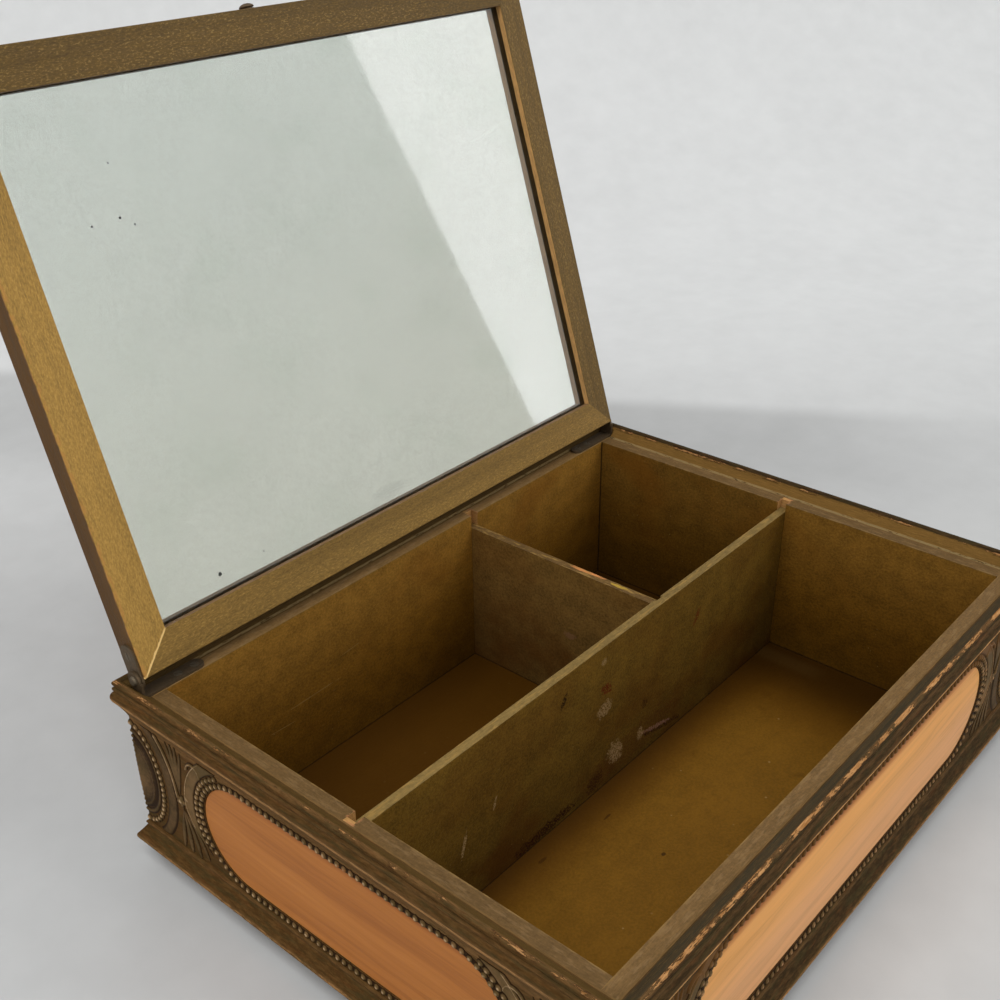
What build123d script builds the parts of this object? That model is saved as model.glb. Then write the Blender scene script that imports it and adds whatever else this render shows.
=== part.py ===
"""Keepsake box with a mirror in its lid, three compartments and inlaid cedar panels.

The box stands on the middle of its underside: X runs along the hinge line, Y from the front
to the hinge side, Z up. All sizes are in millimetres. The lid is built standing open on its stop.
"""
from build123d import *
from math import cos, radians, sin
import os

os.makedirs("parts", exist_ok=True)

# Inside of the box
inside_length = 250.0
inside_width = 189.0

# Boards
liner_thickness = 5.2
bottom_thickness = 4.0
bottom_reach = 8.6
divider_thickness = 3.6
slot_depth = 3.4
slot_clearance = 0.15
slot_end_gap = 0.3
front_compartment_width = 91.5
long_divider_drop = 3.7
left_compartment_length = 157.4
cross_divider_drop = 6.0
cross_slot_depth = 0.8

# Moulded wall stock: distances out from the inside of the box, and heights from the rim
ledge_reach = 6.0
slope_reach = 10.2
slope_rise = 4.0
lip_reach = 11.1
lip_rise = 4.8
lip_side = (12.1, 2.4)
ridge_reach = 12.9
ridge_rise = 1.2
ridge_root = (12.5, 0.4)
roll_reach = 13.8
roll_middle = -2.8
roll_root = (13.0, -4.8)
cove_middle = (11.5, -7.4)
frieze_reach = 10.2
frieze_top = -10.6
foot_reach = 9.6

# Moulded base of the walls: distances out from the inside, and drops below the frieze
base_bead_reach = 11.4
base_bead_drop = 0.9
base_bead_root_reach = 10.9
base_bead_root_drop = 1.8
base_cove_reach = 12.3
base_cove_drop = 3.8
base_reach = 14.5
base_edge_drop = 5.8
base_edge_height = 3.4
base_edge_round = 0.7
base_height = 13.2

# Inlaid panels and their borders
panel_height = 41.0
frieze_above_panel = 3.9
frieze_below_panel = 3.1
panel_corner_margin = 37.4
panel_thickness = 2.2
panel_sink = 0.3
panel_edge_round = 0.3
panel_clearance = 0.1
border_gap = 0.3
border_width = 2.2
border_rise = 0.9
border_round = 0.4

# Applied ornament at the frieze's ends: bands round the panel, a medallion cut by the corner,
# a curved ridge beside it, and a leafy boss with a fan of fronds above it and one below
ornament_rise = 1.1
ornament_margin = 0.5
corner_setback = 0.3
outer_bead_gap = 0.4
outer_bead_width = 2.2
end_band_gap = 0.4
end_band_width = 4.2
end_band_reach = 12.0
medallion_width = 15.2
medallion_overrun = 2.9
medallion_bead_width = 2.4
medallion_field_gap = 1.0
ridge_width = 22.9
ridge_overrun = 10.5
ridge_thickness = 1.1
boss_distance = 24.6
boss_radius = 2.6
frond_overrun = 1.5
frond_width = 3.0
frond_root = 1.5
frond_angles = (-24.0, -12.0, 0.0, 12.0)

# Lid
opening_angle = 107.2
lid_side_overhang = 7.0
lid_front_overhang = 7.0
lid_back_overhang = 4.1
lid_thickness = 10.9
lid_rest_height = 1.2
rail_width = 13.0
rail_arris = 0.35
sight_lip = 2.7
rabbet_width = 4.5
rabbet_clearance = 0.4
glass_thickness = 3.0
backing_thickness = 1.5
top_board_thickness = 3.0
lid_panel_margin = 26.0
lid_panel_pocket = 1.4
lid_panel_proud = 0.55
lid_panel_edge_round = 0.4
lid_border_rise = 0.5

# Lift knob on the lid's front edge
knob_shift = -7.0
knob_radius = 3.0
knob_rise = 2.4
knob_shank_radius = 1.0
knob_shank_length = 7.0

# Hinges
pivot_setback = 4.5
pivot_height = 6.3
leaf_thickness = 1.0
lid_leaf_thickness = 0.8
rim_leaf_width = 5.5
rim_leaf_margin = 0.4
rim_leaf_inner_end = 18.0
ear_radius = 3.4
ear_stem_back = 5.9
heel_width = 2.6
heel_round = 1.2
heel_sweep_clearance = 1.4
lid_leaf_radius = 4.0
lid_leaf_reach = 9.0
leaf_gap = 0.05
rivet_radius = 1.0
rivet_clearance = 0.06
rivet_head_radius = 1.9
rivet_head_rise = 0.7
notch_clearance = 0.3

# Screws and nails
screw_radius = 0.8
screw_length = 8.0
head_radius = 1.6
head_depth = 0.7
screw_slot_width = 0.4
screw_slot_depth = 0.3
rim_screw_places = (7.5, 14.5)
lid_screw_reach = 8.5
hole_clearance = 0.02
nail_radius = 0.6
nail_head_radius = 1.3
nail_head_thickness = 0.5
nail_length = 14.0
nail_spacing = 60.0
nail_end_margin = 28.0
nail_reach = 7.0

# Places that follow from the sizes above
panel_centre_height = frieze_top - frieze_above_panel - panel_height / 2
frieze_bottom = panel_centre_height - panel_height / 2 - frieze_below_panel
inside_depth = base_height - frieze_bottom
rim_height = bottom_thickness + inside_depth
floor_height = bottom_thickness
half_length = inside_length / 2
half_width = inside_width / 2
up = Vector(0, 0, 1)
long_divider_front = -half_width + front_compartment_width
long_divider_middle = long_divider_front + divider_thickness / 2
cross_divider_middle = -half_length + left_compartment_length + divider_thickness / 2

# The lid's own directions: up the lid from the hinge, and out of its mirror side
lean = radians(opening_angle)
lid_up = Vector(0, -cos(lean), sin(lean))
lid_out = Vector(0, -sin(lean), -cos(lean))
pivot = Vector(0, half_width + pivot_setback, rim_height + pivot_height)
lid_face = pivot_height - lid_rest_height
lid_top = lid_face - lid_thickness
lid_back_edge = pivot_setback - lid_back_overhang
lid_depth = inside_width + lid_front_overhang + lid_back_overhang
lid_middle = lid_back_edge + lid_depth / 2
lid_half_length = half_length + lid_side_overhang
sight_half_length = lid_half_length - rail_width
sight_half_depth = lid_depth / 2 - rail_width
glass_face = lid_face - sight_lip
backing_face = glass_face - glass_thickness
top_board_face = backing_face - backing_thickness
top_board_back = top_board_face - top_board_thickness

# Each side of the box: outward direction, distance of its inside face, half of its inside run
sides = {
    "front": (Vector(0, -1, 0), half_width, half_length),
    "back": (Vector(0, 1, 0), half_width, half_length),
    "left": (Vector(-1, 0, 0), half_length, half_width),
    "right": (Vector(1, 0, 0), half_length, half_width),
}


def save(piece, name):
    """Label a finished piece and write it to its own file."""
    piece.part.label = name
    export_step(piece.part, "parts/" + name + ".step")


def section_plane(centre, outward, upward):
    """A plane across a length of stock: its x runs outward and its y runs upward."""
    return Plane(origin=centre, x_dir=outward, z_dir=outward.cross(upward))


def mitre_plane(corner, outward, towards_end):
    """The plane of a mitre through a corner, facing away from the stock that is kept."""
    return Plane(origin=corner, z_dir=towards_end - outward)


def wall_outline():
    """The moulded section of the walls, drawn from the ledge over the lip to the foot."""
    slope_top = (slope_reach, slope_rise)
    frieze_start = (frieze_reach, frieze_top)
    frieze_end = (frieze_reach, frieze_bottom)
    bead_root = (base_bead_root_reach, frieze_bottom - base_bead_root_drop)
    edge_upper = (base_reach - base_edge_round, frieze_bottom - base_edge_drop)
    edge_middle = (base_reach, frieze_bottom - base_edge_drop - base_edge_height / 2)
    edge_lower = (base_reach - base_edge_round, frieze_bottom - base_edge_drop - base_edge_height)
    Polyline((liner_thickness, 0), (ledge_reach, 0), slope_top)
    ThreePointArc(slope_top, (lip_reach, lip_rise), lip_side)
    ThreePointArc(lip_side, (ridge_reach, ridge_rise), ridge_root)
    ThreePointArc(ridge_root, (roll_reach, roll_middle), roll_root)
    ThreePointArc(roll_root, cove_middle, frieze_start)
    Line(frieze_start, frieze_end)
    ThreePointArc(frieze_end, (base_bead_reach, frieze_bottom - base_bead_drop), bead_root)
    ThreePointArc(bead_root, (base_cove_reach, frieze_bottom - base_cove_drop), edge_upper)
    ThreePointArc(edge_upper, edge_middle, edge_lower)
    Polyline(edge_lower, (foot_reach, -inside_depth), (liner_thickness, -inside_depth),
             (liner_thickness, 0))


def side_of(name):
    """The outward direction, the direction along the side, and its two distances."""
    outward, distance, half_run = sides[name]
    return outward, up.cross(outward), distance, half_run


def face_plane(name, reach):
    """The plane of a side's frieze at a distance out from the inside, centred on its panel."""
    outward, along, distance, half_run = side_of(name)
    centre = outward * (distance + reach) + up * (rim_height + panel_centre_height)
    return Plane(origin=centre, x_dir=along, z_dir=outward)


def panel_length(name):
    """How long the panel on a side is: its ends keep one margin from the frieze's corners."""
    half_run = sides[name][2]
    return 2 * (half_run + frieze_reach - panel_corner_margin)


def nail_places():
    """Where nails hold the bottom board under the walls."""
    places = []
    across = half_width + nail_reach
    run = half_length - nail_end_margin
    steps = max(1, round(2 * run / nail_spacing))
    for step in range(steps + 1):
        x = -run + 2 * run * step / steps
        places += [(x, -across), (x, across)]
    return places


def hinge_notch(hand):
    """The middle of the notch that a hinge's ear stands in, in a side wall's lip."""
    inner = half_length + ledge_reach
    outer = half_length + ear_outer + notch_clearance
    return hand * (inner + outer) / 2, outer - inner


ear_inner = lid_side_overhang + lid_leaf_thickness + leaf_gap
ear_outer = ear_inner + leaf_thickness
leaf_middle = rim_leaf_margin + rim_leaf_width / 2

# Bottom board
with BuildPart() as bottom_board:
    with BuildSketch(Plane.XY):
        Rectangle(inside_length + 2 * bottom_reach, inside_width + 2 * bottom_reach)
    extrude(amount=bottom_thickness)
    with Locations([(x, y, 0) for x, y in nail_places()]):
        Cylinder(nail_head_radius + hole_clearance, nail_head_thickness,
                 align=(Align.CENTER, Align.CENTER, Align.MIN), mode=Mode.SUBTRACT)
        Cylinder(nail_radius + hole_clearance, bottom_thickness,
                 align=(Align.CENTER, Align.CENTER, Align.MIN), mode=Mode.SUBTRACT)
save(bottom_board, "bottom_board")

# Moulded walls, mitred at the corners
for name in sides:
    outward, along, distance, half_run = side_of(name)
    rim_centre = outward * distance + up * rim_height
    with BuildPart() as wall:
        with BuildSketch(section_plane(rim_centre, outward, up)):
            with BuildLine():
                wall_outline()
            make_face()
        extrude(amount=half_run + base_reach + 1, both=True)
        for end in (1, -1):
            corner = outward * distance + along * (end * half_run)
            split(bisect_by=mitre_plane(corner, outward, along * end), keep=Keep.BOTTOM)
        with BuildSketch(face_plane(name, frieze_reach)):
            SlotOverall(panel_length(name) + 2 * panel_clearance, panel_height + 2 * panel_clearance)
        extrude(amount=-(panel_thickness + panel_sink), mode=Mode.SUBTRACT)
        if name in ("front", "back"):
            with Locations([(x, y, floor_height) for x, y in nail_places()]):
                Cylinder(nail_radius + hole_clearance, nail_length - bottom_thickness,
                         align=(Align.CENTER, Align.CENTER, Align.MIN), mode=Mode.SUBTRACT)
        if name in ("left", "right"):
            hand = outward.X
            notch_middle, notch_width = hinge_notch(hand)
            with Locations((notch_middle, half_width - notch_clearance, rim_height)):
                Box(notch_width, ear_stem_back + 2 * notch_clearance + heel_sweep_clearance,
                    2 * slope_rise, align=(Align.CENTER, Align.MIN, Align.MIN), mode=Mode.SUBTRACT)
    save(wall, name + "_wall")

# Liner boards: front and back run the whole length, the short ones stand between them
for name in sides:
    outward, along, distance, half_run = side_of(name)
    run = half_run + (liner_thickness if name in ("front", "back") else 0)
    centre = outward * (distance + liner_thickness / 2)
    with BuildPart() as liner:
        with BuildSketch(Plane(origin=centre + up * floor_height, x_dir=along, z_dir=up)):
            Rectangle(2 * run, liner_thickness)
        extrude(amount=inside_depth)
        slot_width = divider_thickness + 2 * slot_clearance
        slot_middle = {"left": (-half_length, long_divider_middle),
                       "right": (half_length, long_divider_middle),
                       "back": (cross_divider_middle, half_width)}.get(name)
        if slot_middle:
            slot_centre = Vector(*slot_middle, floor_height) + outward * (slot_depth / 2)
            with BuildSketch(Plane(origin=slot_centre, x_dir=along, z_dir=up)):
                Rectangle(slot_width, slot_depth)
            extrude(amount=inside_depth, mode=Mode.SUBTRACT)
        if name == "back":
            holes = [(hand * (half_length - place), half_width + leaf_middle)
                     for hand in (-1, 1) for place in rim_screw_places]
            with Locations([(x, y, rim_height) for x, y in holes]):
                Cylinder(screw_radius + hole_clearance, screw_length - leaf_thickness,
                         align=(Align.CENTER, Align.CENTER, Align.MAX), mode=Mode.SUBTRACT)
    save(liner, name + "_liner")

# Dividers
with BuildPart() as long_divider:
    long_height = inside_depth - long_divider_drop
    with BuildSketch(Plane.XY.offset(floor_height)):
        with Locations((0, long_divider_middle)):
            Rectangle(inside_length + 2 * (slot_depth - slot_end_gap), divider_thickness)
        with Locations((cross_divider_middle, long_divider_front + divider_thickness)):
            Rectangle(divider_thickness + 2 * slot_clearance, 2 * cross_slot_depth, mode=Mode.SUBTRACT)
    extrude(amount=long_height)
save(long_divider, "long_divider")

with BuildPart() as cross_divider:
    cross_start = long_divider_front + divider_thickness - cross_slot_depth
    cross_end = half_width + slot_depth - slot_end_gap
    with BuildSketch(Plane.XY.offset(floor_height)):
        with Locations((cross_divider_middle, (cross_start + cross_end) / 2)):
            Rectangle(divider_thickness, cross_end - cross_start)
    extrude(amount=inside_depth - cross_divider_drop)
save(cross_divider, "cross_divider")

# Cedar panels, bead borders and corner ornaments, side by side
for name in sides:
    outward, along, distance, half_run = side_of(name)
    outward_axis = Axis((0, 0, 0), outward)

    with BuildPart() as panel:
        with BuildSketch(face_plane(name, frieze_reach - panel_sink)):
            SlotOverall(panel_length(name), panel_height)
        extrude(amount=-panel_thickness)
        fillet(panel.faces().sort_by(outward_axis)[-1].edges(), panel_edge_round)
    save(panel, name + "_panel")

    with BuildPart() as border:
        inner = 2 * (panel_clearance + border_gap)
        outer = inner + 2 * border_width
        with BuildSketch(face_plane(name, frieze_reach)):
            SlotOverall(panel_length(name) + outer, panel_height + outer)
            SlotOverall(panel_length(name) + inner, panel_height + inner, mode=Mode.SUBTRACT)
        extrude(amount=border_rise)
        fillet(border.faces().sort_by(outward_axis)[-1].edges(), border_round)
    save(border, name + "_bead_border")

    with BuildPart() as ornament:
        corner_run = half_run + frieze_reach - corner_setback
        keep_height = frieze_top - frieze_bottom - 2 * ornament_margin
        keep_middle = (frieze_top + frieze_bottom) / 2 - panel_centre_height
        keep_length = panel_corner_margin - corner_setback + end_band_reach
        medallion_height = panel_height / 2 + medallion_overrun
        ridge_height = panel_height / 2 + ridge_overrun
        frond_length = panel_height / 2 + frond_overrun
        bead_inner = panel_clearance + border_gap + border_width + outer_bead_gap
        bead_outer = bead_inner + outer_bead_width
        band_inner = bead_outer + end_band_gap
        band_outer = band_inner + end_band_width
        with BuildSketch(face_plane(name, frieze_reach)):
            for end in (1, -1):
                with Locations((end * corner_run, 0)):
                    Ellipse(ridge_width, ridge_height)
                    Ellipse(ridge_width - ridge_thickness, ridge_height - ridge_thickness,
                            mode=Mode.SUBTRACT)
                for angle in frond_angles:
                    for upward in (1, -1):
                        spread = radians(angle)
                        reach = frond_root + frond_length / 2
                        x = end * (corner_run - boss_distance - reach * sin(spread))
                        with Locations(Location((x, upward * reach * cos(spread)), end * upward * angle)):
                            Ellipse(frond_width / 2, frond_length / 2)
            for reach in (band_outer, bead_outer):
                SlotOverall(panel_length(name) + 2 * reach, panel_height + 2 * reach)
                inner = band_inner if reach == band_outer else bead_inner
                SlotOverall(panel_length(name) + 2 * inner, panel_height + 2 * inner, mode=Mode.SUBTRACT)
            for end in (1, -1):
                with Locations((end * (corner_run - boss_distance), 0)):
                    Circle(boss_radius)
                with Locations((end * corner_run, 0)):
                    Ellipse(medallion_width + medallion_field_gap, medallion_height + medallion_field_gap,
                            mode=Mode.SUBTRACT)
                    Ellipse(medallion_width, medallion_height)
                    Ellipse(medallion_width - medallion_bead_width, medallion_height - medallion_bead_width,
                            mode=Mode.SUBTRACT)
                    field_inset = medallion_bead_width + medallion_field_gap
                    Ellipse(medallion_width - field_inset, medallion_height - field_inset)
            Rectangle(2 * (corner_run - keep_length), 2 * panel_height, mode=Mode.SUBTRACT)
            with Locations((0, keep_middle)):
                Rectangle(2 * corner_run, keep_height, mode=Mode.INTERSECT)
        extrude(amount=ornament_rise)
        for end in (1, -1):
            corner = outward * distance + along * (end * half_run)
            split(bisect_by=mitre_plane(corner, outward, along * end), keep=Keep.BOTTOM)
    save(ornament, name + "_ornament")

# Nails under the bottom board
with BuildPart() as bottom_nails:
    with Locations([(x, y, 0) for x, y in nail_places()]):
        Cylinder(nail_head_radius, nail_head_thickness, align=(Align.CENTER, Align.CENTER, Align.MIN))
        Cylinder(nail_radius, nail_length, align=(Align.CENTER, Align.CENTER, Align.MIN))
save(bottom_nails, "bottom_nails")


def lid_point(x, along_lid, out):
    """A point of the lid: along the hinge, up the lid from the pivot, and out of its mirror side."""
    return pivot + Vector(x, 0, 0) + lid_up * along_lid + lid_out * out


def lid_plane(out, facing=1):
    """A plane of the lid at a distance out of the pivot, centred on the lid."""
    return Plane(origin=lid_point(0, lid_middle, out), x_dir=(facing, 0, 0), z_dir=lid_out * facing)


# Lid rails, mitred at the corners, with a rabbet for the glass
lid_sides = {
    "front": (lid_up, sight_half_depth, sight_half_length),
    "back": (lid_up * -1, sight_half_depth, sight_half_length),
    "left": (Vector(-1, 0, 0), sight_half_length, sight_half_depth),
    "right": (Vector(1, 0, 0), sight_half_length, sight_half_depth),
}
for name, (outward, distance, half_run) in lid_sides.items():
    along = lid_out.cross(outward)
    centre = lid_point(0, lid_middle, 0) + outward * distance
    with BuildPart() as rail:
        with BuildSketch(section_plane(centre, outward, lid_out)):
            with BuildLine():
                Polyline((0, lid_face), (rail_width - rail_arris, lid_face),
                         (rail_width, lid_face - rail_arris), (rail_width, lid_top + rail_arris),
                         (rail_width - rail_arris, lid_top), (rabbet_width, lid_top),
                         (rabbet_width, glass_face), (0, glass_face), close=True)
            make_face()
        extrude(amount=half_run + rail_width + 1, both=True)
        for end in (1, -1):
            corner = centre + along * (end * half_run)
            split(bisect_by=mitre_plane(corner, outward, along * end), keep=Keep.BOTTOM)
        if name == "front":
            with BuildSketch(Plane(origin=lid_point(knob_shift, lid_back_edge + lid_depth,
                                                    (lid_face + lid_top) / 2), z_dir=lid_up)):
                Circle(knob_shank_radius + hole_clearance)
            extrude(amount=-knob_shank_length, mode=Mode.SUBTRACT)
        if name in ("left", "right"):
            hole_centre = lid_point(outward.X * lid_half_length, lid_screw_reach, 0)
            with BuildSketch(Plane(origin=hole_centre, z_dir=outward)):
                Circle(screw_radius + hole_clearance)
            extrude(amount=-(screw_length - lid_leaf_thickness), mode=Mode.SUBTRACT)
    save(rail, "lid_" + name + "_rail")

# Glass and boards in the rabbet
board_length = 2 * (sight_half_length + rabbet_width - rabbet_clearance)
board_depth = 2 * (sight_half_depth + rabbet_width - rabbet_clearance)

with BuildPart() as mirror_glass:
    with BuildSketch(lid_plane(glass_face)):
        Rectangle(board_length, board_depth)
    extrude(amount=-glass_thickness)
save(mirror_glass, "mirror_glass")

with BuildPart() as mirror_backing:
    with BuildSketch(lid_plane(backing_face)):
        Rectangle(board_length, board_depth)
    extrude(amount=-backing_thickness)
save(mirror_backing, "mirror_backing")

lid_panel_length = 2 * (sight_half_length - lid_panel_margin)
lid_panel_width = 2 * (sight_half_depth - lid_panel_margin)
lid_top_axis = Axis((0, 0, 0), lid_out * -1)

with BuildPart() as lid_top_board:
    with BuildSketch(lid_plane(top_board_face)):
        Rectangle(board_length, board_depth)
    extrude(amount=-top_board_thickness)
    with BuildSketch(lid_plane(top_board_back, -1)):
        SlotOverall(lid_panel_length + 2 * panel_clearance, lid_panel_width + 2 * panel_clearance)
    extrude(amount=-lid_panel_pocket, mode=Mode.SUBTRACT)
save(lid_top_board, "lid_top_board")

with BuildPart() as lid_panel:
    with BuildSketch(lid_plane(top_board_back + lid_panel_pocket, -1)):
        SlotOverall(lid_panel_length, lid_panel_width)
    extrude(amount=lid_panel_pocket + lid_panel_proud)
    fillet(lid_panel.faces().sort_by(lid_top_axis)[-1].edges(), lid_panel_edge_round)
save(lid_panel, "lid_panel")

with BuildPart() as lid_bead_border:
    inner = 2 * (panel_clearance + border_gap)
    outer = inner + 2 * border_width
    with BuildSketch(lid_plane(top_board_back, -1)):
        SlotOverall(lid_panel_length + outer, lid_panel_width + outer)
        SlotOverall(lid_panel_length + inner, lid_panel_width + inner, mode=Mode.SUBTRACT)
    extrude(amount=lid_border_rise)
    fillet(lid_bead_border.faces().sort_by(lid_top_axis)[-1].edges(), lid_border_rise / 2)
save(lid_bead_border, "lid_bead_border")

# Lift knob: a dome on a shank, turned on the lid's front edge
knob_seat = lid_point(knob_shift, lid_back_edge + lid_depth, (lid_face + lid_top) / 2)
with BuildPart() as lift_knob:
    with BuildSketch(Plane(origin=knob_seat, x_dir=(1, 0, 0), z_dir=lid_out)):
        with BuildLine():
            Line((0, -knob_shank_length), (0, knob_rise))
            ThreePointArc((0, knob_rise), (knob_radius * 0.75, knob_rise * 0.7), (knob_radius, 0))
            Polyline((knob_radius, 0), (knob_shank_radius, 0), (knob_shank_radius, -knob_shank_length),
                     (0, -knob_shank_length))
        make_face()
    revolve(axis=Axis(knob_seat, lid_up), revolution_arc=360)
save(lift_knob, "lift_knob")


# One slotted screw with a flat countersunk head, its top on the sketch's origin
with BuildPart() as screw:
    with BuildSketch(Plane.XZ):
        Polygon((0, 0), (0, -screw_length), (screw_radius, -screw_length), (screw_radius, -head_depth),
                (head_radius, 0), align=None)
    revolve(axis=Axis.Z, revolution_arc=360)
    Box(2 * head_radius, screw_slot_width, 2 * screw_slot_depth, mode=Mode.SUBTRACT)

rim_seats = [Plane(origin=(hand * (half_length - place), half_width + leaf_middle,
                           rim_height + leaf_thickness), x_dir=(1, hand * 0.6, 0), z_dir=up)
             for hand in (-1, 1) for place in rim_screw_places]
lid_seats = [Plane(origin=lid_point(hand * (lid_half_length + lid_leaf_thickness), lid_screw_reach, 0),
                   x_dir=lid_up, z_dir=(hand, 0, 0))
             for hand in (-1, 1)]


def countersunk_hole(depth):
    """Cut the hole that a screw's shank and its countersunk head sit in."""
    Cylinder(screw_radius + hole_clearance, depth,
             align=(Align.CENTER, Align.CENTER, Align.MAX), mode=Mode.SUBTRACT)
    Cone(screw_radius + hole_clearance, head_radius + hole_clearance, head_depth,
         align=(Align.CENTER, Align.CENTER, Align.MAX), mode=Mode.SUBTRACT)


# Hinges: a leaf on the rim with an upturned ear, a leaf on the lid's edge, and a rivet
for name, hand in (("left", -1), ("right", 1)):
    outward = Vector(hand, 0, 0)
    ear_face = Plane(origin=(hand * (half_length + ear_inner), pivot.Y, pivot.Z),
                     x_dir=(0, hand, 0), z_dir=outward)
    rim_leaf_outer_end = half_length + ear_outer

    with BuildPart() as rim_leaf:
        straight = rim_leaf_outer_end - (half_length - rim_leaf_inner_end) - rim_leaf_width / 2
        with BuildSketch(Plane.XY.offset(rim_height)):
            with Locations((hand * (rim_leaf_outer_end - straight / 2), half_width + leaf_middle)):
                Rectangle(straight, rim_leaf_width)
            with Locations((hand * (rim_leaf_outer_end - straight), half_width + leaf_middle)):
                Circle(rim_leaf_width / 2)
        extrude(amount=leaf_thickness)
        with BuildSketch(ear_face):
            Circle(ear_radius)
            stem_front = rim_leaf_margin - pivot_setback
            stem_back = ear_stem_back - pivot_setback
            with Locations((hand * (stem_front + stem_back) / 2, -pivot_height / 2)):
                Rectangle(stem_back - stem_front, pivot_height)
            Circle(rivet_radius + rivet_clearance, mode=Mode.SUBTRACT)
        extrude(amount=leaf_thickness)
        with Locations(*rim_seats):
            countersunk_hole(leaf_thickness)
    save(rim_leaf, name + "_hinge_rim_leaf")

    with BuildPart() as lid_leaf:
        leaf_face = Plane(origin=(hand * lid_half_length, pivot.Y, pivot.Z), x_dir=lid_up, z_dir=outward)
        with BuildSketch(leaf_face):
            with Locations((lid_leaf_reach / 2, 0)):
                SlotCenterToCenter(lid_leaf_reach, 2 * lid_leaf_radius)
        extrude(amount=lid_leaf_thickness)
        heel_length = pivot_height - leaf_thickness - leaf_gap
        heel_face = Plane(origin=leaf_face.origin, x_dir=(0, hand, 0), z_dir=outward)
        with BuildSketch(heel_face) as heel:
            with Locations((0, -heel_length / 2)):
                Rectangle(heel_width, heel_length)
            front_corner = heel.vertices().sort_by(Axis.Y)[:2].sort_by(Axis.X)[0 if hand > 0 else -1]
            fillet(front_corner, heel_round)
        extrude(amount=lid_leaf_thickness)
        with BuildSketch(heel_face):
            Circle(rivet_radius + hole_clearance)
        extrude(amount=lid_leaf_thickness, mode=Mode.SUBTRACT)
        with Locations(*lid_seats):
            countersunk_hole(lid_leaf_thickness)
    save(lid_leaf, name + "_hinge_lid_leaf")

    with BuildPart() as rivet:
        with BuildSketch(Plane(origin=(hand * lid_half_length, pivot.Y, pivot.Z), z_dir=outward)):
            Circle(rivet_radius)
        extrude(amount=ear_outer + leaf_gap - lid_side_overhang)
        with BuildSketch(Plane(origin=(hand * (half_length + ear_outer + leaf_gap), pivot.Y, pivot.Z),
                               z_dir=outward)):
            Circle(rivet_head_radius)
        extrude(amount=rivet_head_rise, taper=35)
    save(rivet, name + "_hinge_rivet")

with BuildPart() as rim_screws:
    with Locations(*rim_seats):
        add(screw.part)
save(rim_screws, "rim_leaf_screws")

with BuildPart() as lid_screws:
    with Locations(*lid_seats):
        add(screw.part)
save(lid_screws, "lid_leaf_screws")
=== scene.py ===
"""Looks of the keepsake box: beads, carved corners, mirror and worn stained wood round its frame.

Lengths are metres in the frame of the solids: X along the hinge line, Y towards the hinge side, Z up.
"""
from collections import namedtuple
from math import cos, pi, radians, sin

import bpy
import numpy as np
from bpy.props import FloatProperty, FloatVectorProperty, PointerProperty
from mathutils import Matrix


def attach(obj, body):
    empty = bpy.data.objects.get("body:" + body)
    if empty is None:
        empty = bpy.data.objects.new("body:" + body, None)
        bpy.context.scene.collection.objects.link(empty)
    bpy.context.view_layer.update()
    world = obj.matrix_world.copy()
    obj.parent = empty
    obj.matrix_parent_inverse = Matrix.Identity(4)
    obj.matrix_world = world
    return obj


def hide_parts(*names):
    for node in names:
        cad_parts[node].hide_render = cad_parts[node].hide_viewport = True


bl_info = {
    "name": "Keepsake Box",
    "version": (1, 0, 0),
    "blender": (4, 5, 0),
    "location": "View3D > Sidebar > Keepsake Box",
    "description": "Builds the beads, carving, mirror and wood finishes of a keepsake box",
    "category": "Object",
}

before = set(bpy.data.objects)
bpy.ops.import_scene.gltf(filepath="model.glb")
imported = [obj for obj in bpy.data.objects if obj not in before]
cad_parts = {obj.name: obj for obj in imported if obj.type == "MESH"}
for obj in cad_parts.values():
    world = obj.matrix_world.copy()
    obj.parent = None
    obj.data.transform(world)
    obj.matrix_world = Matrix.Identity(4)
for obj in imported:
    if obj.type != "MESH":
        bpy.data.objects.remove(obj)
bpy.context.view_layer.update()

MM = 0.001

# Sizes of the solids in millimetres; heights below the rim and reaches past the inside faces
INSIDE_LENGTH = 250.0
INSIDE_WIDTH = 189.0
RIM = 75.8
FLOOR = -71.8
LEDGE = 6.0
FRIEZE = 10.2
PANEL_HEIGHT = 41.0
PANEL_MIDDLE = -35.0
PANEL_MARGIN = 37.4
PANEL_END = PANEL_MARGIN + PANEL_HEIGHT / 2
BORDER_INNER = 0.4
BORDER_WIDTH = 2.2
BORDER_RISE = 0.9
SLOT_HALF = 1.97
SLOT_MIDDLES = {"left": -1.2, "right": -1.2, "back": 34.2}
LONG_DIVIDER_FRONT = -3.0
DIVIDER_TOPS = {"long_divider": -3.7, "cross_divider": -6.0}

# Sizes of the lid: along the hinge, up the lid from the hinge line, and out of the mirror side
LEAN = radians(107.2)
PIVOT = np.array([0.0, 99.0, 82.1])
LID_UP = np.array([0.0, -cos(LEAN), sin(LEAN)])
LID_OUT = np.array([0.0, -sin(LEAN), -cos(LEAN)])
LID_BACK = 0.4
LID_DEPTH = 200.1
LID_MIDDLE = LID_BACK + LID_DEPTH / 2
LID_HALF = 132.0
LID_FACE = 5.1
LID_TOP = -5.8
RAIL_WIDTH = 13.0
SIGHT_RUN = LID_HALF - RAIL_WIDTH
SIGHT_UP = LID_DEPTH / 2 - RAIL_WIDTH
RABBET = 4.1
GLASS_FACE = 2.4
GLASS_BACK = -0.6
GROUND_EDGE = 0.6
BACKING = 1.5
TOP_BOARD = 3.0
LID_TOP_BOARD = GLASS_BACK - BACKING - TOP_BOARD
LID_PANEL_MARGIN = 26.0
LID_BORDER_RISE = 0.5

Side = namedtuple("Side", "outward run distance half_run")

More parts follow.
